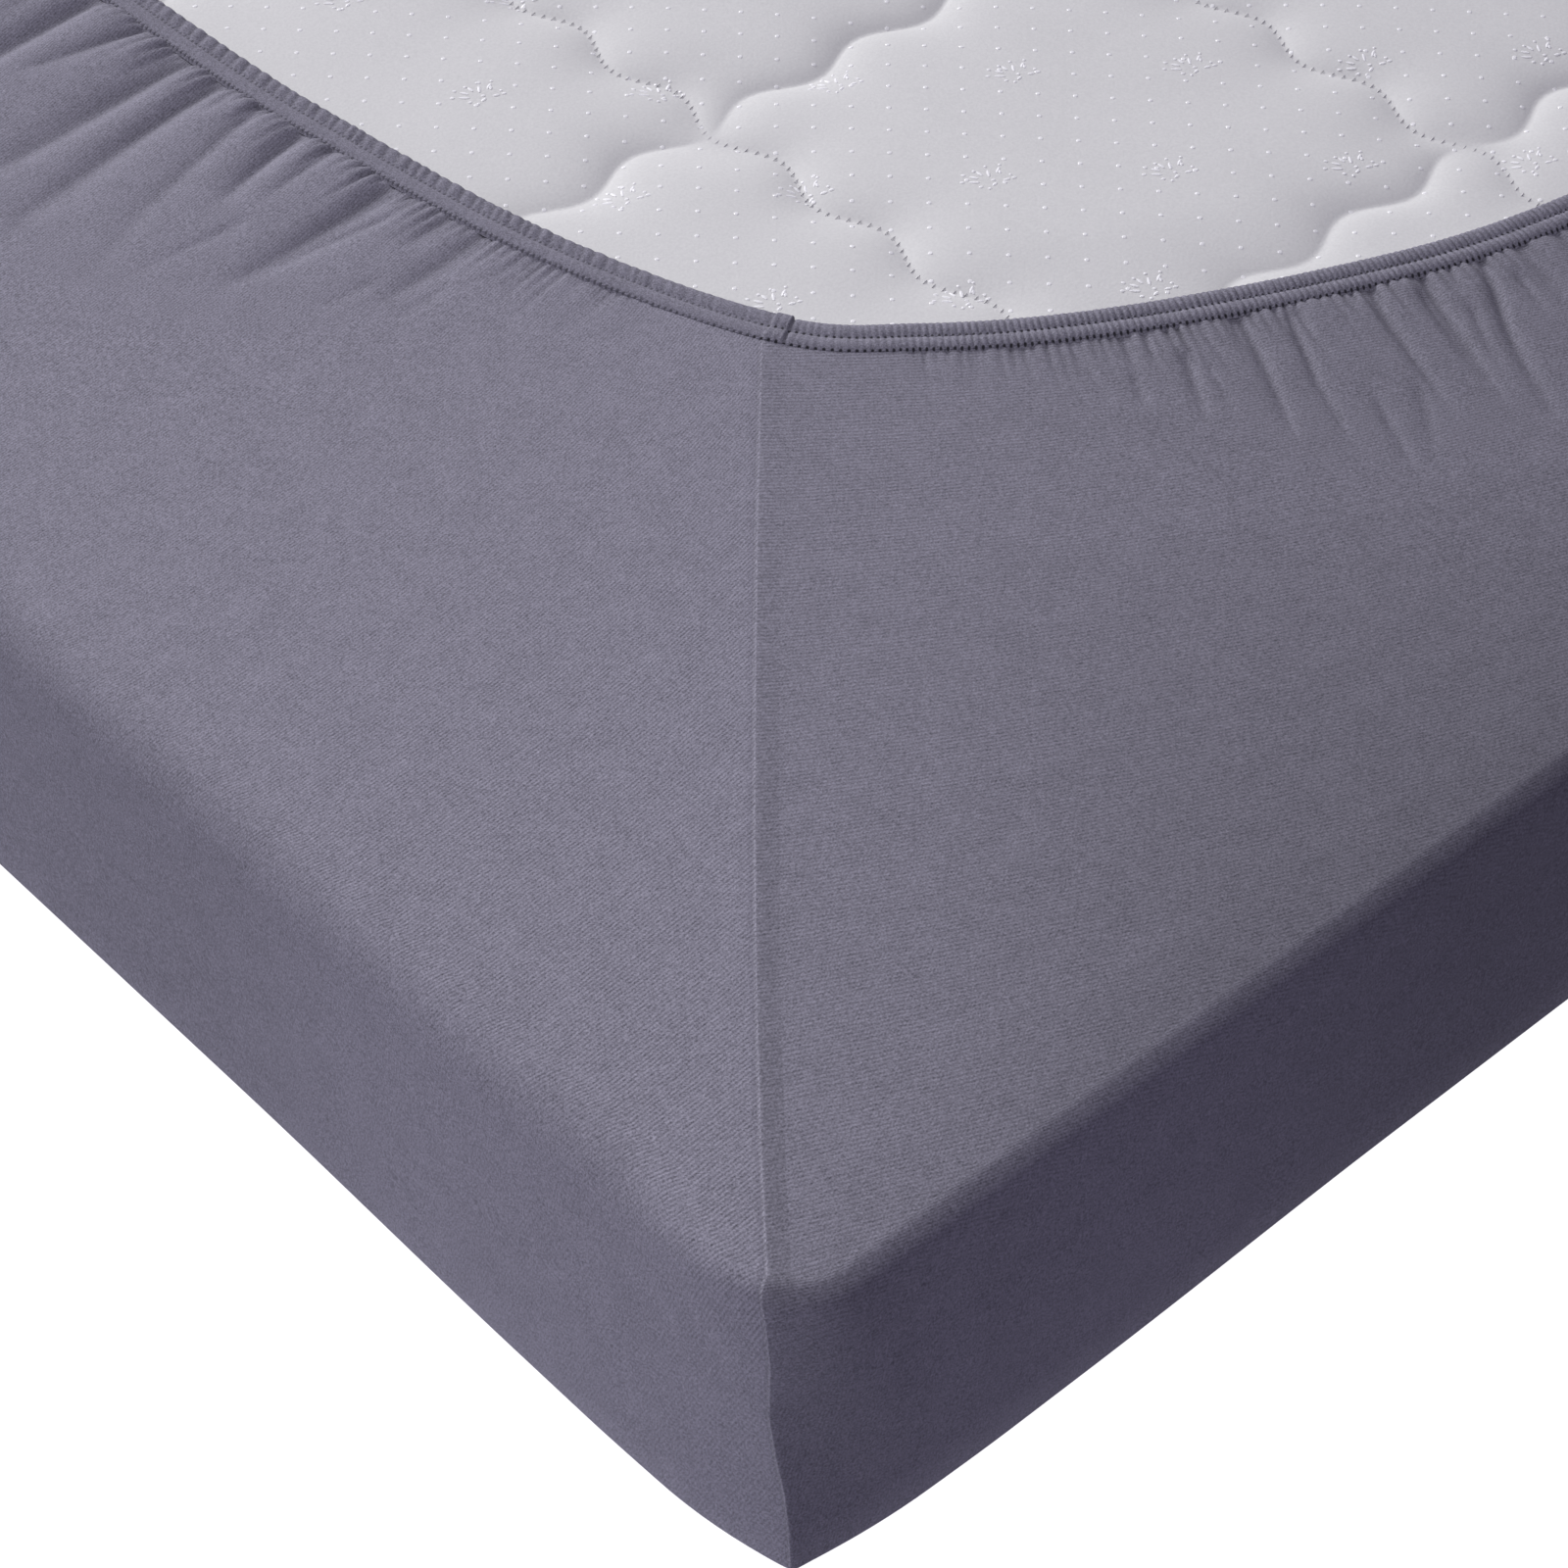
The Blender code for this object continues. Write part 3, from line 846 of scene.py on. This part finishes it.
def lineStrengths(u, v, below, longPanel):
    # the lines are clear on top and faint on the sides, a little clearer by the corners
    top = 1 - smooth(below, 2 * mm, 20 * mm)
    if longPanel:
        lines = (1.1 * top * (1 - 0.42 * smooth(v, 0.16, 0.34))
                 + (1 - top) * (0.16 + 0.35 * np.exp(-v / 0.06)))
        return lines, 0.0 * lines
    wales = (0.30 * top * (1 - smooth(u, 0.12, 0.22)) * (1 - smooth(below, 0, 2 * mm))
             + 0.45 * smooth(below, 22 * mm, 30 * mm) * np.exp(-u / 0.04))
    return 0.85 * top + 0.12 * (1 - top), wales


def lost(off, fade, where=1.0):
    # how much tone goes to painted shade at a distance off from the corner
    share, start, end = fade
    return share * where * smooth(off, start, end)


def shadeAndNapTones(rows, middle, farEnd):
    # painted shade and nap: tone of every face, row by row from the floor in to the hem
    number = np.arange(rows - 1)[:, None]
    onTop = np.clip((number - sideRows) / (rimRows - 1), 0, 1)      # from the sides over the rim
    byRim = onTop * np.clip((sideRows + rimRows + outerSteps - number) / (outerSteps + 1), 0, 1)
    longFace = middle < 0
    # by the seam: painted shadow on the allowance near the rim, partly its own darker knit, and
    # painted shade in the groove beside the seam line
    seamStrip = (middle > 0.2 * mm) & (middle < cloth["seamWidth"])
    besideSeam = (middle > -1.7 * mm) & (middle < -0.5 * mm)
    tones = np.where(longFace, 1.0, cloth["shortEndTone"])
    tones = tones * np.where(seamStrip, 1.0 - cloth["seamStripDark"] * byRim, 1.0)
    tones = tones * np.where(besideSeam, cloth["besideSeamShade"], 1.0)
    off = fromCorner(middle)
    topShade = 1 - lost(off, cloth["endTopFade"]) - lost(off, cloth["endRimFade"], byRim)
    topShade = np.where(longFace, 1.0, np.where(farEnd, cloth["farEndTone"], topShade))
    sideShade = 1 + cloth["shortSideLift"] + lost(off, cloth["offCornerLift"])
    sideShade = sideShade - lost(off, cloth["shortSideFade"])
    sideShade = np.where(farEnd, cloth["farEndTone"], sideShade)
    sideShade = np.where(longFace, 1 - lost(off, cloth["longSideFade"]), sideShade)
    return tones * (sideShade + (topShade - sideShade) * onTop)


def buildCloth():
    surfaces, corners = [], []
    for quarter, s in ringOrder([columnPlaces(q) for q in range(4)]):
        surface, knitRows = quarterSurface(s, quarter)
        surfaces.append(surface)
        knit = [[knitCoordinates(u, v, below, side) for u, v, below, deep in knitRows]
                for side in (True, False)]
        shown = [np.where(s < 0, *[lineStrengths(u, v, below, side)[kind] for side in (True, False)])
                 for kind in (0, 1) for u, v, below, deep in knitRows]
        deep = [row[3] for row in knitRows]
        corners.append((s, np.array(knit[0]), np.array(knit[1]),
                        np.array(shown[:len(deep)]), np.array(shown[len(deep):]), np.array(deep)))
    surface = np.concatenate(surfaces, axis=1)
    rows, columns = surface.shape[:2]
    s = np.concatenate([c[0] for c in corners])
    onLong, onShort, lines, wales, deep = [np.concatenate([c[k] for c in corners], axis=1)
                                           for k in range(1, 6)]
    faces = ringFaces(rows, columns)
    after = (np.arange(columns) + 1) % columns
    middle = (s + s[after]) / 2          # a face's panel goes by its middle
    uvs = []
    for row in range(rows - 1):
        pick = np.where((middle < 0)[:, None, None], faceCorners(onLong, row, after),
                        faceCorners(onShort, row, after))
        uvs.append(pick.reshape(-1, 2))
    faces.append(tuple(range(columns - 1, -1, -1)))    # the floor side, one flat face
    uvs.append(surface[0][::-1, :2])
    obj = piece("sheet_cloth", surface.reshape(-1, 3), faces, slateJersey,
                {"knit": np.concatenate(uvs)})
    tones = shadeAndNapTones(rows, middle, surface[0, :, 1] > 0)
    keepValues(obj, "napAndPaintedShade", np.append(tones.ravel(), 1.0), "FACE")
    keepValues(obj, "lines", lines)
    keepValues(obj, "wales", wales)
    keepValues(obj, "creviceShade", deep)
    return obj


sheetCloth = buildCloth()
print("cloth:", len(sheetCloth.data.polygons), "faces")


# hem: the casing of the elastic, with its ribs

# across from the lower row of stitches to the inner edge and round beneath, millimetres:
# distance in, height over the cloth, how much the ribs show
casingRows = (
    (-1.6, -0.8, 0.0), (-1.0, 0.0, 0.4), (-0.4, 0.45, 0.7), (0.6, 0.85, 0.9), (2.0, 1.0, 0.9),
    (3.3, 0.9, 0.9), (4.2, 0.55, 0.8), (4.8, 0.30, 0.7), (5.4, 0.60, 0.9), (6.6, 1.0, 1.0),
    (8.4, 1.1, 1.0), (9.9, 0.85, 1.0), (10.7, 0.35, 0.9), (11.1, -0.4, 0.5), (10.9, -1.5, 0.2),
    (9.0, -2.0, 0.0),
)
upperRows = 13                           # of these, from the lower stitches to the inner edge

# millimetres, on the long side and on the short end
ribs = {
    "high": (0.85, 0.52),
    "pitch": (3.3, 1.95),
    "wider": (1.4, 0.0),                 # pitch gained by the time the hem is this far along
    "widerBy": 220,
    "uneven": (0.32, 0.12),
    "smallest": (0.55, 0.75),
    "slant": (0.42, 0.0),
    "shortened": (0.88, 0.0),            # share of the height lost between the rows of stitches
    "sunk": 0.55,                        # the ribs rise and fall about this share of their height
}


def ribPlaces(draw, side, span):
    places = [0.0]
    while places[-1] < span + 12:
        pitch = ribs["pitch"][side] + ribs["wider"][side] * min(1.0, places[-1] / ribs["widerBy"])
        places.append(places[-1] + pitch * (1 + ribs["uneven"][side] * draw.uniform(-1, 1)))
    return np.array(places)


def ribHeight(s, inward, quarter):
    # ribs of the casing over its elastic, and the gaps between them from 0 to 1, which get painted
    # shade
    draw = np.random.default_rng(400 + quarter)
    along = s / mm
    total = np.zeros_like(along)
    gaps = np.zeros_like(along)
    for side, span in enumerate((longRun / mm, shortRun / mm)):
        places = ribPlaces(draw, side, span)
        count = len(places)
        sizes = draw.uniform(ribs["smallest"][side], 1.0, count)
        here = np.maximum(np.abs(along) - ribs["slant"][side] * (inward - 4), 0.0)
        pick = np.clip(np.searchsorted(places, here), 1, count - 1)
        share = (here - places[pick - 1]) / (places[pick] - places[pick - 1])
        arch = np.sin(np.clip(share, 0, 1) * math.pi)
        shortened = ribs["shortened"][side]
        shown = 1 - shortened + shortened * smooth(inward, 4.4, 6.4)
        grow = 0.35 + 0.65 * smooth(np.abs(along), 10, 70)
        height = (arch ** 0.7 * sizes[pick] - ribs["sunk"]) * (ribs["high"][side] * shown) * grow
        onSide = (along < 0) == (side == 0)
        total = np.where(onSide, height, total)
        gaps = np.where(onSide, np.clip(1 - arch, 0, 1) ** 3 * grow * shown, gaps)
    return total, gaps


bundleHeight = 0.45                      # of the corner seam's layers inside the casing, millimetres
bundleEnd = 5.3                          # a small notch closes it off


def bundle(along):
    # the corner seam's thickness inside the casing, just on the short end's side
    return smooth(along, -0.4, 0.4) * (1 - smooth(along, 4.6, 5.1))


def casingPlaces(quarter):
    plain, beside = 1.15 * mm, 0.008
    if quarter == photoQuarter:
        parts = (np.arange(-longRun, -0.28, plain), np.arange(-0.28, -beside, 0.55 * mm),
                 np.arange(-8, 8, 0.28) * mm, np.arange(beside, shortRun, 0.33 * mm))
    else:
        parts = (np.arange(-longRun, -beside, plain), np.arange(-8, 8, 0.5) * mm,
                 np.arange(beside, shortRun, 0.9 * mm))
    return np.concatenate(parts + ((shortRun,),))


def casingPoint(s, inward, height, quarter):
    # inward in metres from the lower row, height over the flat cloth
    edge = hemAt(s, quarter)
    normal = hemOutward(s, quarter)
    plan = edge + normal * (hem["width"] - inward)[..., None]
    x, y = toPlan(plan[..., 0], plan[..., 1], quarter)
    return np.stack((x, y, clothTop + height), -1)


def casingHeight(s, inward, quarter):
    # height of the casing's upper side, in metres, at a distance in from the lower row
    table = np.array(casingRows)[:upperRows]
    base = np.interp(inward / mm, table[:, 0], table[:, 1])
    show = np.interp(inward / mm, table[:, 0], table[:, 2])
    rise = ribHeight(s, inward / mm, quarter)[0]
    return (base + show * rise + bundleHeight * bundle(s / mm)) * mm


def buildCasing():
    order = ringOrder([casingPlaces(q) for q in range(4)])
    strips, knits, bands, clefts, holes = [], [], [], [], []
    widest = max(row[0] for row in casingRows)
    for quarter, s in order:
        along = s / mm
        strip, knit, band, cleft = [], [], [], []
        # the casing is a little wider as it comes to the seam from the long side
        step = np.where(along < 5.0, 0.8 * np.exp(-np.maximum(-along, 0) / 25), 0.0)
        for inward, height, show in casingRows:
            rise, gaps = ribHeight(s, inward, quarter)
            wide = inward + step * (max(inward, 0) / widest) ** 2
            top = height + show * rise + bundleHeight * bundle(along) * min(1.0, max(show, 0.2))
            notch = np.exp(-((along - bundleEnd) / 0.35) ** 2) * min(1.0, show)
            strip.append(casingPoint(s, wide * mm, (top - 0.5 * notch) * mm, quarter))
            # painted shade in the gaps between the ribs and in the notch
            cleft.append(np.maximum(gaps * show, 0.8 * notch))
            knit.append(np.stack(((along + 0.3 * inward) * 0.4, inward + 0.0 * s), -1))
            band.append(np.stack((s + longRun, inward * mm + 0.0 * s), -1))
        for whole, part in ((strips, strip), (knits, knit), (bands, band), (clefts, cleft)):
            whole.append(np.array(part))
        holes.append(np.where(s < -4 * mm, 0.6, 1.0))
    surface = np.concatenate(strips, axis=1)
    holes = np.concatenate(holes)
    rows, columns = surface.shape[:2]
    after = (np.arange(columns) + 1) % columns
    layers = {}
    for name, part in (("knit", knits), ("band", bands)):
        flat = np.concatenate(part, axis=1)
        corners = [faceCorners(flat, row, after) for row in range(rows - 1)]
        layers[name] = np.concatenate(corners).reshape(-1, 2)
    faces = ringFaces(rows, columns)
    obj = piece("hem_casing", surface.reshape(-1, 3), faces, slateCasing, layers)
    keepValues(obj, "napAndPaintedShade", np.full(len(faces), 0.93), "FACE")
    keepValues(obj, "creviceShade", np.concatenate(clefts, axis=1))
    keepValues(obj, "holes", np.tile(holes, rows))
    keepValues(obj, "lines", np.full(surface.shape[:2], 0.25))
    keepValues(obj, "wales", np.zeros(surface.shape[:2]))
    return obj


hemCasing = buildCasing()
print("hem casing:", len(hemCasing.data.polygons), "faces")


# stitches: short spindles of thread, in two rows round the hem

def spindles(name, starts, ends, radius, material, flatness=1.0, smoothed=True):
    # one small four-sided spindle from each start to each end, all in one mesh
    starts, ends = np.asarray(starts), np.asarray(ends)
    run = ends - starts
    length = np.linalg.norm(run, axis=1, keepdims=True)
    run = run / length
    side = np.cross(run, (0.0, 0.0, 1.0))
    flat = np.linalg.norm(side, axis=1, keepdims=True) < 0.2
    side = np.where(flat, np.cross(run, (1.0, 0.0, 0.0)), side)
    side /= np.linalg.norm(side, axis=1, keepdims=True)
    up = np.cross(side, run) * flatness
    shape = ((0.12, 0.62), (0.5, 1.0), (0.88, 0.62))
    points = [starts]
    for share, width in shape:
        centre = starts + run * length * share
        for around in ((1, 0), (0, 1), (-1, 0), (0, -1)):
            points.append(centre + radius * width * (side * around[0] + up * around[1]))
    points.append(ends)
    points = np.stack(points, 1)
    count, each = points.shape[:2]
    faces = []
    for k in range(4):
        n = (k + 1) % 4
        faces.append((0, 1 + n, 1 + k))
        for ring in (1, 5):
            faces.append((ring + k, ring + n, ring + 4 + n, ring + 4 + k))
        faces.append((13, 9 + k, 9 + n))
    allFaces = [tuple(number * each + i for i in face) for number in range(count) for face in faces]
    return piece(name, points.reshape(-1, 3), allFaces, material, smoothed=smoothed)


def threadMaterial():
    material, tree, shader = plainMaterial("slateThread", stitches["colour"], 0.75)
    shader.inputs["Sheen Weight"].default_value = 0.2
    place = node(tree, "NewGeometry").outputs["Position"]
    twist = noise(tree, place, 900.0)
    paint(tree, shader, twist, stitches["dark"], stitches["light"])
    return material


slateThread = threadMaterial()


def buildStitches():
    starts, ends = [], []
    for quarter in range(4):
        for row in stitches["rows"]:
            middle = np.arange(-longRun, shortRun, stitches["pitch"]) + stitches["pitch"] / 2
            for end, sign in ((starts, -0.5), (ends, 0.5)):
                s = np.clip(middle + sign * stitches["length"], -longRun, shortRun)
                inward = np.full_like(s, row)
                height = casingHeight(s, inward, quarter) + stitches["lift"]
                end.append(casingPoint(s, inward, height, quarter))
    return spindles("hem_stitches", np.concatenate(starts), np.concatenate(ends),
                    stitches["radius"], slateThread)


hemStitches = buildStitches()
print("stitches:", len(hemStitches.data.polygons) // 16)


# thread of the corner seams, down each corner from the hem to the floor

seamStitches = {
    "pitch": 2.2 * mm,
    "length": 1.2 * mm,
    "radius": 0.09 * mm,
    "sunk": 0.01 * mm,
}


def buildSeamThread():
    starts, ends = [], []
    atSeam = np.array((0.0,))
    for quarter in range(4):
        line = quarterSurface(atSeam, quarter)[0][2:-2, 0]
        steps = np.linalg.norm(np.diff(line, axis=0), axis=1)
        run = np.concatenate(([0.0], np.cumsum(steps)))
        for first in np.arange(0, run[-1] - seamStitches["pitch"], seamStitches["pitch"]):
            for end, at in ((starts, first), (ends, first + seamStitches["length"])):
                point = np.array([np.interp(at, run, line[:, axis]) for axis in range(3)])
                end.append(point - (0, 0, seamStitches["sunk"]))
    return spindles("corner_seam_thread", starts, ends, seamStitches["radius"], slateThread)


seamThread = buildSeamThread()


# mattress: quilted white ticking

quilt = {
    "pitch": 0.160,
    "lineX": -0.0513,                    # a quilting line's place across the width
    "lineY": -0.0078,                    # and another's along the length
    "wave": 3.8 * mm,                    # the lines wind
    "wavePitch": 0.160 / 3.5,
    "phases": (0.17, 3.05),              # of the lines along the length, and across
    "depth": 3.6 * mm,
    "shoulder": 11 * mm,
    "pillow": 1.5 * mm,                  # how far the pillows rise over the pressed edge
    "pressed": 3.4 * mm,                 # how far the cloth presses the ticking down
    "puckerPitch": 3.0 * mm,
    "puckerLength": 2.4 * mm,
    "puckerRadius": 0.16 * mm,
    "puckerSunk": 0.04 * mm,
    "skirt": 24 * mm,                    # the quilted top stops this far short of the sides
    "inset": 2.2 * mm,
    "cornerRadius": 34 * mm,
    "colour": (0.697, 0.697, 0.69),
    "dark": (0.65, 0.65, 0.645),
    "light": (0.745, 0.745, 0.735),
}
mouthHalf = (0.33, 0.88)                 # the sheet's mouth lies within these, across and along


def wind(along, phase):
    return quilt["wave"] * np.sin(2 * math.pi * along / quilt["wavePitch"] + phase)


def nearestLine(offset):
    # distance from the nearest of the parallel lines, from the distance to one of them
    return abs((offset + quilt["pitch"] / 2) % quilt["pitch"] - quilt["pitch"] / 2)


edgePlaces = np.linspace(-longRun, shortRun, 420)


def insideHem(x, y):
    # distance inside the mouth of the sheet, negative under the cloth
    flatX, flatY = np.ravel(x), np.ravel(y)
    result = np.empty(len(flatX))
    for quarter, (xSign, ySign, drawnIn) in enumerate(quarters):
        here = ((flatX * xSign) >= 0) & ((flatY * ySign) >= 0)
        u, v = halfWidth - flatX[here] * xSign, halfLength - flatY[here] * ySign
        line = hemAt(edgePlaces, quarter)
        normal = hemOutward(edgePlaces, quarter)
        nearest = np.empty(len(u))
        for first in range(0, len(u), 4000):
            part = slice(first, first + 4000)
            du = u[part, None] - line[None, :, 0]
            dv = v[part, None] - line[None, :, 1]
            pick = np.argmin(du ** 2 + dv ** 2, axis=1)
            rows = np.arange(len(pick))
            nearest[part] = -(du[rows, pick] * normal[pick, 0] + dv[rows, pick] * normal[pick, 1])
        result[here] = nearest
    return result.reshape(np.shape(x))


def padHeight(x, y):
    inside = insideHem(x, y)
    gapX = nearestLine(x - quilt["lineX"] - wind(y, quilt["phases"][0]))
    gapY = nearestLine(y - quilt["lineY"] - wind(x, quilt["phases"][1]))
    shoulder = quilt["shoulder"]
    relief = (1 - np.exp(-gapX / shoulder)) * (1 - np.exp(-gapY / (0.9 * shoulder)))
    freed = smooth(inside, -2 * mm, 40 * mm)
    height = padTop - quilt["depth"] * (1 - relief) * (0.6 + 0.4 * freed) + quilt["pillow"] * freed
    return height - quilt["pressed"] * smooth(-inside, 11 * mm, 20 * mm)


def gridPlaces(line, half, fineFrom, fineTo):
    # places across the mattress, close together in view and closest at the quilting lines
    inner = half - quilt["skirt"]
    places = [-inner]
    while places[-1] < inner - 12 * mm:
        here = places[-1]
        gap = nearestLine(here - line)
        fine = (1.0 + 2.6 * min(1.0, max(0.0, gap / mm - 3) / 16)) * mm
        places.append(here + (fine if fineFrom < here < fineTo else 3.2 * fine))
    return np.array(places + [inner])


def tickingMaterial():
    material, tree, shader = plainMaterial("whiteTicking", quilt["colour"], 0.8)
    shader.inputs["Sheen Weight"].default_value = 0.1
    place = node(tree, "NewGeometry").outputs["Position"]
    knit = noise(tree, place, 1100.0)
    cloud = noise(tree, place, 30.0, detail=3.0)
    tone = math2(tree, "MULTIPLY_ADD", cloud, 0.35, knit)
    spread = node(tree, "MapRange", {"Value": tone, "From Min": 0.35, "From Max": 1.0})
    paint(tree, shader, spread.outputs[0], quilt["dark"], quilt["light"])
    addRelief(tree, shader, knit, 0.12 * mm)
    return material


whiteTicking = tickingMaterial()


def buildPad():
    xs = gridPlaces(quilt["lineX"], padHigh.x, -0.315, 0.13)
    ys = gridPlaces(quilt["lineY"], padHigh.y, -0.86, -0.30)
    x, y = np.meshgrid(xs, ys)
    # the columns and rows wind with the quilting lines, except at the rim
    calm = smooth(padHigh.x - np.abs(x), 0.03, 0.15) * smooth(padHigh.y - np.abs(y), 0.03, 0.15)
    x = x + wind(y, quilt["phases"][0]) * calm
    y = y + wind(x, quilt["phases"][1]) * calm
    z = padHeight(x, y)
    top = np.stack((x, y, z), -1)
    rows, columns = top.shape[:2]
    points = list(top.reshape(-1, 3))
    faces = ringFaces(rows, columns, closed=False)
    # skirt: over the rim, down the side and under
    border = ([(0, c) for c in range(columns)] + [(r, columns - 1) for r in range(1, rows)]
              + [(rows - 1, c) for c in range(columns - 2, -1, -1)]
              + [(r, 0) for r in range(rows - 2, 0, -1)])
    ring = [r * columns + c for r, c in border]
    rim = np.array([top[r, c] for r, c in border])
    low = padLow.z
    levels = ((22, padTop - 4 * mm), (12, padTop - 7 * mm), (4, padTop - 14 * mm),
              (1, padTop - 24 * mm), (1, low + 22 * mm), (4, low + 10 * mm),
              (12, low + 3 * mm), (24, low))
    half = np.array((padHigh.x, padHigh.y))
    radius = quilt["cornerRadius"]
    for inset, height in levels:
        side = half - quilt["inset"] - inset * mm
        plan = np.clip(rim[:, :2] * (side / (half - quilt["skirt"])), -side, side)
        over = np.maximum(np.abs(plan) - (side - radius), 0)
        reach = np.maximum(np.hypot(over[:, 0], over[:, 1]), 1e-9)
        inCorner = (over > 0).all(axis=1)
        scale = np.where(inCorner, np.minimum(radius / reach, 1.0), 1.0)[:, None]
        plan = np.sign(plan) * (np.minimum(np.abs(plan), side - radius) + over * scale)
        first = len(points)
        points += [(a, b, height) for a, b in plan]
        here = list(range(first, first + len(ring)))
        for k in range(len(ring)):
            n = (k + 1) % len(ring)
            faces.append((ring[n], ring[k], here[k], here[n]))
        ring = here
    faces.append(tuple(reversed(ring)))
    return piece("mattress_ticking", np.array(points), faces, whiteTicking)


pad = buildPad()
print("mattress:", len(pad.data.polygons), "faces")


# the ticking's woven-in dots and sprigs

motifs = {
    "dotX": 15.3 * mm, "dotY": 16.6 * mm,
    "dotFirst": (0.2505, 0.3144),        # one dot, from the long side and from the short end
    "dotRadius": 0.80 * mm,
    "dotShape": ((1.0, 0.0), (0.75, 0.12)),    # its rings: share of the radius, height in millimetres
    "dotPeak": 0.15 * mm,
    "sprigX": 42.7 * mm, "sprigY": 66 * mm,
    "sprigFirst": (0.247, 0.276),
    "sprigSize": 1.4,
    "sprigThread": 0.56 * mm,
    "sprigLift": 0.06 * mm,
    "sprigFlat": 0.25,
}

# strokes of one sprig in millimetres, from the foot of the tuft: start, end
sprigStrokes = (
    ((-0.6, 1.2), (-0.9, 3.6)), ((-2.0, 1.6), (-3.2, 3.0)), ((-2.9, 0.6), (-4.8, 1.3)),
    ((-2.6, -0.7), (-5.0, -0.6)), ((-5.6, 1.6), (-6.5, 1.9)), ((-5.9, -0.7), (-6.9, -0.7)),
    ((1.0, 2.6), (1.7, 4.6)), ((1.8, 2.4), (1.6, 3.6)), ((1.5, 5.2), (2.0, 5.7)),
    ((-1.6, 4.5), (-1.1, 5.0)), ((-0.2, 0.1), (0.7, 0.2)), ((2.3, 0.1), (3.8, 0.6)),
    ((4.1, 0.8), (5.2, 1.2)), ((3.6, 2.0), (4.3, 2.2)), ((0.9, -0.7), (0.0, -1.9)),
    ((-0.4, -2.4), (-0.8, -3.1)), ((-2.0, -2.1), (-2.9, -2.4)), ((-3.5, 3.0), (-4.2, 3.3)),
)


def threadWhite(name, low, high):
    material, tree, shader = plainMaterial(name, high, 0.45)
    place = node(tree, "NewGeometry").outputs["Position"]
    paint(tree, shader, noise(tree, place, 1600.0), low, high)
    return material


satinWhite = threadWhite("satinWhite", (0.92, 0.92, 0.93), (0.98, 0.98, 0.99))
dotWhite = threadWhite("dotWhite", (0.86, 0.86, 0.87), (0.96, 0.96, 0.97))
# grey strokes of painted shade where the quilting thread pinches the ticking
puckerShadeGrey = threadWhite("puckerShadeGrey", (0.50, 0.50, 0.51), (0.62, 0.62, 0.63))


def latticePlaces(pitchX, pitchY, first, margin):
    # two equal grids, the second shifted by half a pitch both ways
    firstX, firstY = first[0] - halfWidth, first[1] - halfLength
    wide, long = mouthHalf
    steps = np.arange(-160, 161)         # more than enough either way
    places = []
    for shift in (0.0, 0.5):
        xs = steps * pitchX + firstX + shift * pitchX
        ys = steps * pitchY + firstY + shift * pitchY
        x, y = np.meshgrid(xs[np.abs(xs) < wide], ys[np.abs(ys) < long])
        places.append(np.stack((x.ravel(), y.ravel()), -1))
    places = np.concatenate(places)
    inside = insideHem(places[:, 0], places[:, 1])
    return places[inside > margin]


def buildDots():
    places = latticePlaces(motifs["dotX"], motifs["dotY"], motifs["dotFirst"], -1.5 * mm)
    radius = motifs["dotRadius"]
    angles = np.arange(6) * math.pi / 3
    faces, rings = [], []
    for share, rise in motifs["dotShape"]:
        x = places[:, 0, None] + radius * share * np.cos(angles)
        y = places[:, 1, None] + radius * share * np.sin(angles)
        rings.append(np.stack((x, y, padHeight(x, y) + rise * mm), -1))
    high = padHeight(places[:, 0], places[:, 1]) + motifs["dotPeak"]
    peak = np.stack((places[:, 0], places[:, 1], high), -1)
    block = np.concatenate((rings[0], rings[1], peak[:, None]), axis=1)
    for number in range(len(places)):
        first = number * block.shape[1]
        for k in range(6):
            n = (k + 1) % 6
            faces.append((first + k, first + n, first + 6 + n, first + 6 + k))
            faces.append((first + 6 + k, first + 6 + n, first + 12))
    return piece("ticking_dots", block.reshape(-1, 3), faces, dotWhite, smoothed=False)


def buildSprigs():
    places = latticePlaces(2 * motifs["sprigX"], motifs["sprigY"], motifs["sprigFirst"], 1 * mm)
    starts, ends = [], []
    facing = (Vector(shot["up"]).xy).normalized()       # the tufts open away from the corner
    for x, y in places:
        for start, end in sprigStrokes:
            for point, keep in ((start, starts), (end, ends)):
                along = point[0] * motifs["sprigSize"] * mm
                away = point[1] * motifs["sprigSize"] * mm
                px = x + facing.y * along + facing.x * away
                py = y - facing.x * along + facing.y * away
                keep.append((px, py))
    both = []
    for plan in (np.array(starts), np.array(ends)):
        height = padHeight(plan[:, 0], plan[:, 1]) + motifs["sprigLift"]
        both.append(np.column_stack((plan, height)))
    return spindles("ticking_sprigs", *both, motifs["sprigThread"], satinWhite,
                    flatness=motifs["sprigFlat"], smoothed=False)


def buildPuckerShade():
    # grey strokes of painted shade for the small pinches of the quilting thread, across the lines
    # that run lengthways
    starts, ends = [], []
    along = np.arange(-mouthHalf[1], mouthHalf[1], quilt["puckerPitch"])
    half = quilt["puckerLength"] / 2
    for number in range(-3, 4):
        line = quilt["lineX"] + number * quilt["pitch"]
        x = line + wind(along, quilt["phases"][0])
        keep = insideHem(x, along) > 2 * mm
        for end, side in ((starts, -half), (ends, half)):
            px, py = x[keep] + side, along[keep] + 0.25 * side
            end.append(np.column_stack((px, py, padHeight(px, py) - quilt["puckerSunk"])))
    return spindles("quilting_pucker_shade", np.concatenate(starts), np.concatenate(ends),
                    quilt["puckerRadius"], puckerShadeGrey)


dots = buildDots()
puckerShade = buildPuckerShade()
sprigs = buildSprigs()
print("motifs:", len(dots.data.polygons) // 12, "dots,", len(sprigs.data.polygons) // 16, "strokes")


# what stands for what

for obj in (sheetCloth, hemCasing, hemStitches, seamThread):
    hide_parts("fitted_sheet")
for obj in (pad, dots, sprigs, puckerShade):
    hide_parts("mattress")
